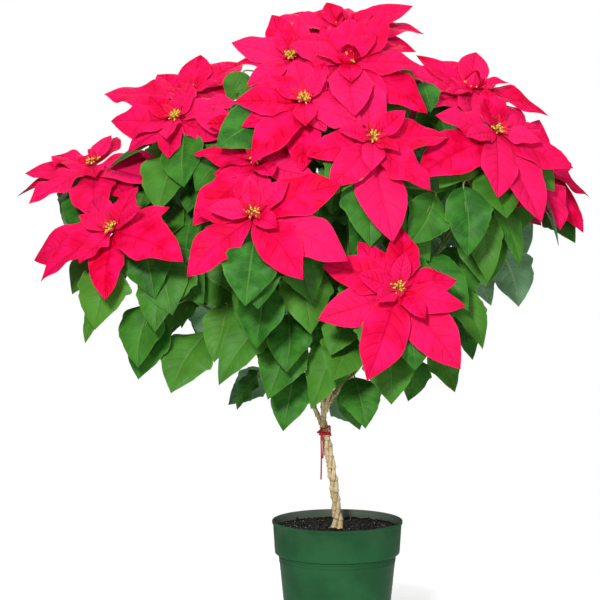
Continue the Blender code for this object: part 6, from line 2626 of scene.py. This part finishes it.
@dataclass(frozen=True)
class Foliage:
    """One green limb: its shoots with their nodes, its leaf stalks and its leaves."""

    limb: Limb
    leaves: Sequence[Blade]
    fit: Fit
    sides: int = 10
    stalk_sides: int = 7
    step: float = 0.0045
    node_pitch: float = 0.021
    node_swell: float = 0.0005
    stalk_radius: float = 0.00125
    stalk_steps: int = 10
    rib_shares: tuple[float, ...] = (0.06, 0.14, 0.24, 0.36)

    def shoots(self, build: Build) -> None:
        """The limb and its shoots as round rods, swollen where leaves have sprung.

        Args:
            build: the limb's piece.
        """
        for points, radii in limb_rods(self.limb):
            line, gone = respaced(smoothed(points, 2), self.step)
            lengths = np.cumsum([0.0] + [(b - a).length for a, b in zip(points, points[1:])])
            beat = gone / self.node_pitch % 1.0
            swell = self.node_swell * np.exp(-(((beat - 0.5) / 0.16) ** 2))
            build.rod(line, np.interp(gone, lengths, radii) + swell, self.sides, 2)

    def stalk(self, build: Build, blade: Blade) -> None:
        """A leaf's stalk: it arches from the shoot to the blade and runs on as the rib under it.

        Args:
            build: the limb's piece.
            blade: the leaf.
        """
        reach = (blade.base - blade.root).length
        first = (blade.bend - blade.base).normalized()
        lead = blade.root + (blade.base - blade.root) * 0.5
        arrive = blade.base - first * min(0.3 * reach, 0.012)
        last = self.stalk_steps - 1
        line = [cubic(blade.root, lead, arrive, blade.base, step / last) for step in range(self.stalk_steps)]
        radii = [self.stalk_radius * (1.35 - 0.35 * min(1.0, step / 3)) for step in range(self.stalk_steps)]
        for share in self.rib_shares:
            _, up = blade.frame(share)
            middle = quadratic(blade.base, blade.bend, blade.tip, share)
            radius = self.stalk_radius * (0.95 - 1.7 * share)
            line.append(middle - up * (radius + blade.half_width * 0.10))
            radii.append(radius)
        build.rod(line, radii, self.stalk_sides, 3)

    def make(self) -> None:
        """The whole limb as one piece."""
        build = Build([LEAF_FACE, LEAF_BACK, SHOOT_SKIN, STALK_SKIN])
        self.shoots(build)
        for number, blade in enumerate(self.leaves):
            seed = f"{self.limb.name} {number}"
            self.stalk(build, blade)
            self.fit.grow(build, LEAF_FORM, blade, seed, (0, 1), light_roll(blade))
        settle(build.piece("leafy_" + self.limb.name), self.limb.name)


@dataclass(frozen=True)
class BloomHead:
    """One bloom: its hub, its bracts in whorls, and the small dark bractlets round its cups."""

    bloom: Bloom
    bracts: Sequence[Blade]
    fit: Fit
    bractlets: int = 6
    bud_bracts: int = 9
    hub_shape: Stations = (
        (0.0, SHOOT_RADIUS), (0.18, SHOOT_RADIUS * 1.3), (0.45, 0.0036), (0.8, 0.0050), (1.0, 0.0053))

    def hub(self, build: Build) -> None:
        """The stub that the bracts spring from.

        Args:
            build: the bloom's piece.
        """
        _, _, facing = self.bloom.axes()
        foot = Vector(self.bloom.place) - facing * HUB_HEIGHT
        line = [foot + facing * HUB_HEIGHT * share for share, _ in self.hub_shape]
        build.rod(line, [radius for _, radius in self.hub_shape], 14, 3)

    def small_bracts(self) -> list[Blade]:
        """The bractlets: small blades that stand up round the cups.

        Returns:
            The plain blades.
        """
        draw = random.Random("bractlets " + self.bloom.name)
        start = draw.uniform(0, math.tau)
        found = []
        for number in range(self.bractlets):
            angle = start + math.tau * (number + draw.uniform(-0.25, 0.25)) / self.bractlets
            length = draw.uniform(0.011, 0.022)
            rise = math.radians(draw.uniform(26, 52))
            found.append(bract(self.bloom, angle, length, rise, HUB_HEIGHT - 0.001, SHORT_BRACT_OUTLINE))
        return found

    def bud(self) -> list[Blade]:
        """The bracts of a bloom that is still closed: they rise round the cups and lean over them.

        Returns:
            The plain blades.
        """
        draw = random.Random("bud " + self.bloom.name)
        right, up, facing = self.bloom.axes()
        place = Vector(self.bloom.place)
        found = []
        for number in range(self.bud_bracts):
            angle = number * GOLDEN_ANGLE + draw.uniform(-0.2, 0.2)
            way = right * math.cos(angle) + up * math.sin(angle)
            outer = number / self.bud_bracts
            root = place + way * (0.0050 + 0.0030 * outer) - facing * 0.004
            tip = place + way * draw.uniform(-0.004, 0.008 + 0.016 * outer)
            tip += facing * draw.uniform(0.016, 0.026)
            width = (tip - root).length * draw.uniform(0.30, 0.40)
            found.append(Blade(root, root, tip, -way, width, SHORT_BRACT_OUTLINE, -0.34, BRACT_KEEL))
        return found

    def make(self) -> None:
        """The whole bloom as one piece."""
        build = Build([BRACT_FACE, BRACT_BACK, BRACTLET_FACE, HUB_SKIN])
        self.hub(build)
        for number, blade in enumerate(self.bracts):
            seed = f"{self.bloom.name} {number}"
            long = (blade.tip - blade.root).length > SHORT_BRACT
            self.fit.grow(build, LONG_BRACT_FORM if long else SHORT_BRACT_FORM, blade, seed, (0, 1))
        closed = self.bloom.name in CLOSED_BLOOMS
        for number, blade in enumerate(self.bud() if closed else self.small_bracts()):
            seed = f"{self.bloom.name} small {number}"
            self.fit.grow(build, BRACTLET_FORM, blade, seed, (0, 0) if closed else (2, 2))
        settle(build.piece("bracts_" + self.bloom.name), "bloom_" + self.bloom.name)


@dataclass(frozen=True)
class FlowerCups:
    """The flowers in the middle of a bloom: green cups, each with a yellow gland and red stamens."""

    count: int = 11
    spread: float = 0.0080
    lean: float = 0.50
    cup: Stations = ((0.0, 0.0009), (0.0012, 0.0015), (0.0028, 0.0017), (0.0040, 0.0012), (0.0044, 0.0006))
    gland: Stations = ((0.0012, 0.0030), (0.0018, 0.0036), (0.0024, 0.0045), (0.0021, 0.0051))
    gland_radii: tuple[float, ...] = (0.0005, 0.0011, 0.0013, 0.0005)
    stamens: Stations = ((0.0, 0.0), (-0.0006, 0.0006), (-0.0005, -0.0007))
    stamen_radii: tuple[float, ...] = (0.00022, 0.00030, 0.00042)

    def model(self) -> bpy.types.Object:
        """Makes one cup, standing up, its gland towards +X.

        Returns:
            The cup, which stays outside the scene.
        """
        build = Build([FLOWER_CUP])
        build.rod([(0.0, 0.0, z) for z, _ in self.cup], [radius for _, radius in self.cup], 7, tone=0.1)
        build.rod([(x, 0.0, z) for x, z in self.gland], self.gland_radii, 6, tone=0.5)
        for number, (x, y) in enumerate(self.stamens):
            line = [(x * 0.4, y * 0.4, 0.0040), (x, y, 0.0054), (x * 1.3, y * 1.3, 0.0061)]
            build.rod(line, self.stamen_radii, 4, tone=0.9 if number else 0.6)
        made = build.piece("cup_model")
        bpy.context.scene.collection.objects.unlink(made)
        return made

    def make(self, bloom: Bloom, number: int, model: bpy.types.Object) -> None:
        """Makes the cluster of one bloom, grown upright and then turned to face as the bloom does.

        Args:
            bloom: the bloom.
            number: the bloom's number.
            model: one cup.
        """
        cluster = grown(cluster_tree(), bpy.data.meshes.new("none"), {
            "Model": model, "Count": self.count + number % 3 - 1, "Spread": self.spread, "Lean": self.lean,
            "Seed": number, "Material": FLOWER_CUP.material()})
        right, up, facing = bloom.axes()
        centre = Vector(bloom.place) + facing * JOINT_GAP
        turn = Matrix((right, up, facing)).transposed().to_4x4()
        cluster.transform(Matrix.Translation(centre) @ turn)
        settle(placed("flowers_" + bloom.name, cluster), "cups_" + bloom.name)


@dataclass(frozen=True)
class Studio:
    """The plain set: a pale floor, soft lights, and the camera at the photograph's angle."""

    eye: tuple[float, float, float] = (-0.058, -3.4, 0.783)
    down: float = 4.21
    lens: float = 132.5
    floor_radius: float = 0.7
    aim: tuple[float, float, float] = (-0.05, 0.0, 0.6)
    backdrop: float = 1.0
    sky: float = 0.20
    lights: tuple[tuple[str, tuple[float, float, float], float, float], ...] = (
        ("key_softbox", (-0.7, -3.4, 1.9), 0.5, 96.0),
        ("fill_softbox", (1.1, -3.3, 0.9), 1.3, 22.0),
        ("top_softbox", (0.0, -0.3, 3.2), 2.0, 26.0),
        ("back_softbox", (0.2, 3.2, 2.6), 2.0, 36.0),
    )

    def place_camera(self) -> None:
        """The camera, level apart from looking a little down."""
        data = bpy.data.cameras.new("camera")
        data.lens = self.lens
        data.sensor_width = 36.0
        data.clip_end = 100.0
        camera = bpy.data.objects.new("camera", data)
        camera.location = self.eye
        camera.rotation_euler = (math.radians(90 - self.down), 0.0, 0.0)
        bpy.context.scene.collection.objects.link(camera)
        bpy.context.scene.camera = camera

    def light(self) -> None:
        """The softboxes, each aimed at the middle of the plant, and the pale room round them."""
        for name, place, size, power in self.lights:
            data = bpy.data.lights.new(name, "AREA")
            data.shape = "DISK"
            data.size = size
            data.energy = power
            lamp = bpy.data.objects.new(name, data)
            lamp.location = place
            lamp.rotation_euler = (Vector(self.aim) - Vector(place)).to_track_quat("-Z", "Y").to_euler()
            bpy.context.scene.collection.objects.link(lamp)
        world = bpy.data.worlds.new("pale room")
        world.use_nodes = True
        tree = world.node_tree
        tree.nodes.clear()
        seen = add(tree, "ShaderNodeLightPath").outputs["Is Camera Ray"]
        strength = add(tree, "ShaderNodeMapRange", {0: seen, 3: self.sky, 4: self.backdrop})
        room = add(tree, "ShaderNodeBackground", {"Color": linear("#ffffff"), "Strength": strength})
        add(tree, "ShaderNodeOutputWorld", {"Surface": room})
        bpy.context.scene.world = world
        bpy.context.scene.view_settings.view_transform = "Standard"

    def lay_floor(self) -> None:
        """A wide disc of paper under the pot."""
        form = bmesh.new()
        bmesh.ops.create_circle(form, cap_ends=True, segments=96, radius=self.floor_radius)
        mesh = mesh_of("floor", form)
        mesh.materials.append(FLOOR_PAPER.material())
        placed("floor", mesh)


def main() -> None:
    """Builds the plant from the pot up."""
    logging.basicConfig(level=logging.INFO, format="%(name)s: %(message)s")
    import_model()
    studio = Studio()
    studio.place_camera()
    tie = Tie()
    tie.make_ends()
    studio.light()
    studio.lay_floor()
    pot = Pot()
    pot.make()
    Soil(pot).make()
    for number in range(3):
        Stem(number).make()
    tie.make()
    growth = Growth()
    growth.grow()
    growth.fill()
    fit = Fit()
    for bloom in BLOOMS.values():
        BloomHead(bloom, growth.bracts[bloom.name], fit).make()
    for limb in LIMBS:
        Foliage(limb, growth.leaves[limb.name], fit).make()
    cups = FlowerCups()
    cup = cups.model()
    for number, bloom in enumerate(BLOOMS.values()):
        cups.make(bloom, number, cup)


if __name__ == "__main__":
    main()
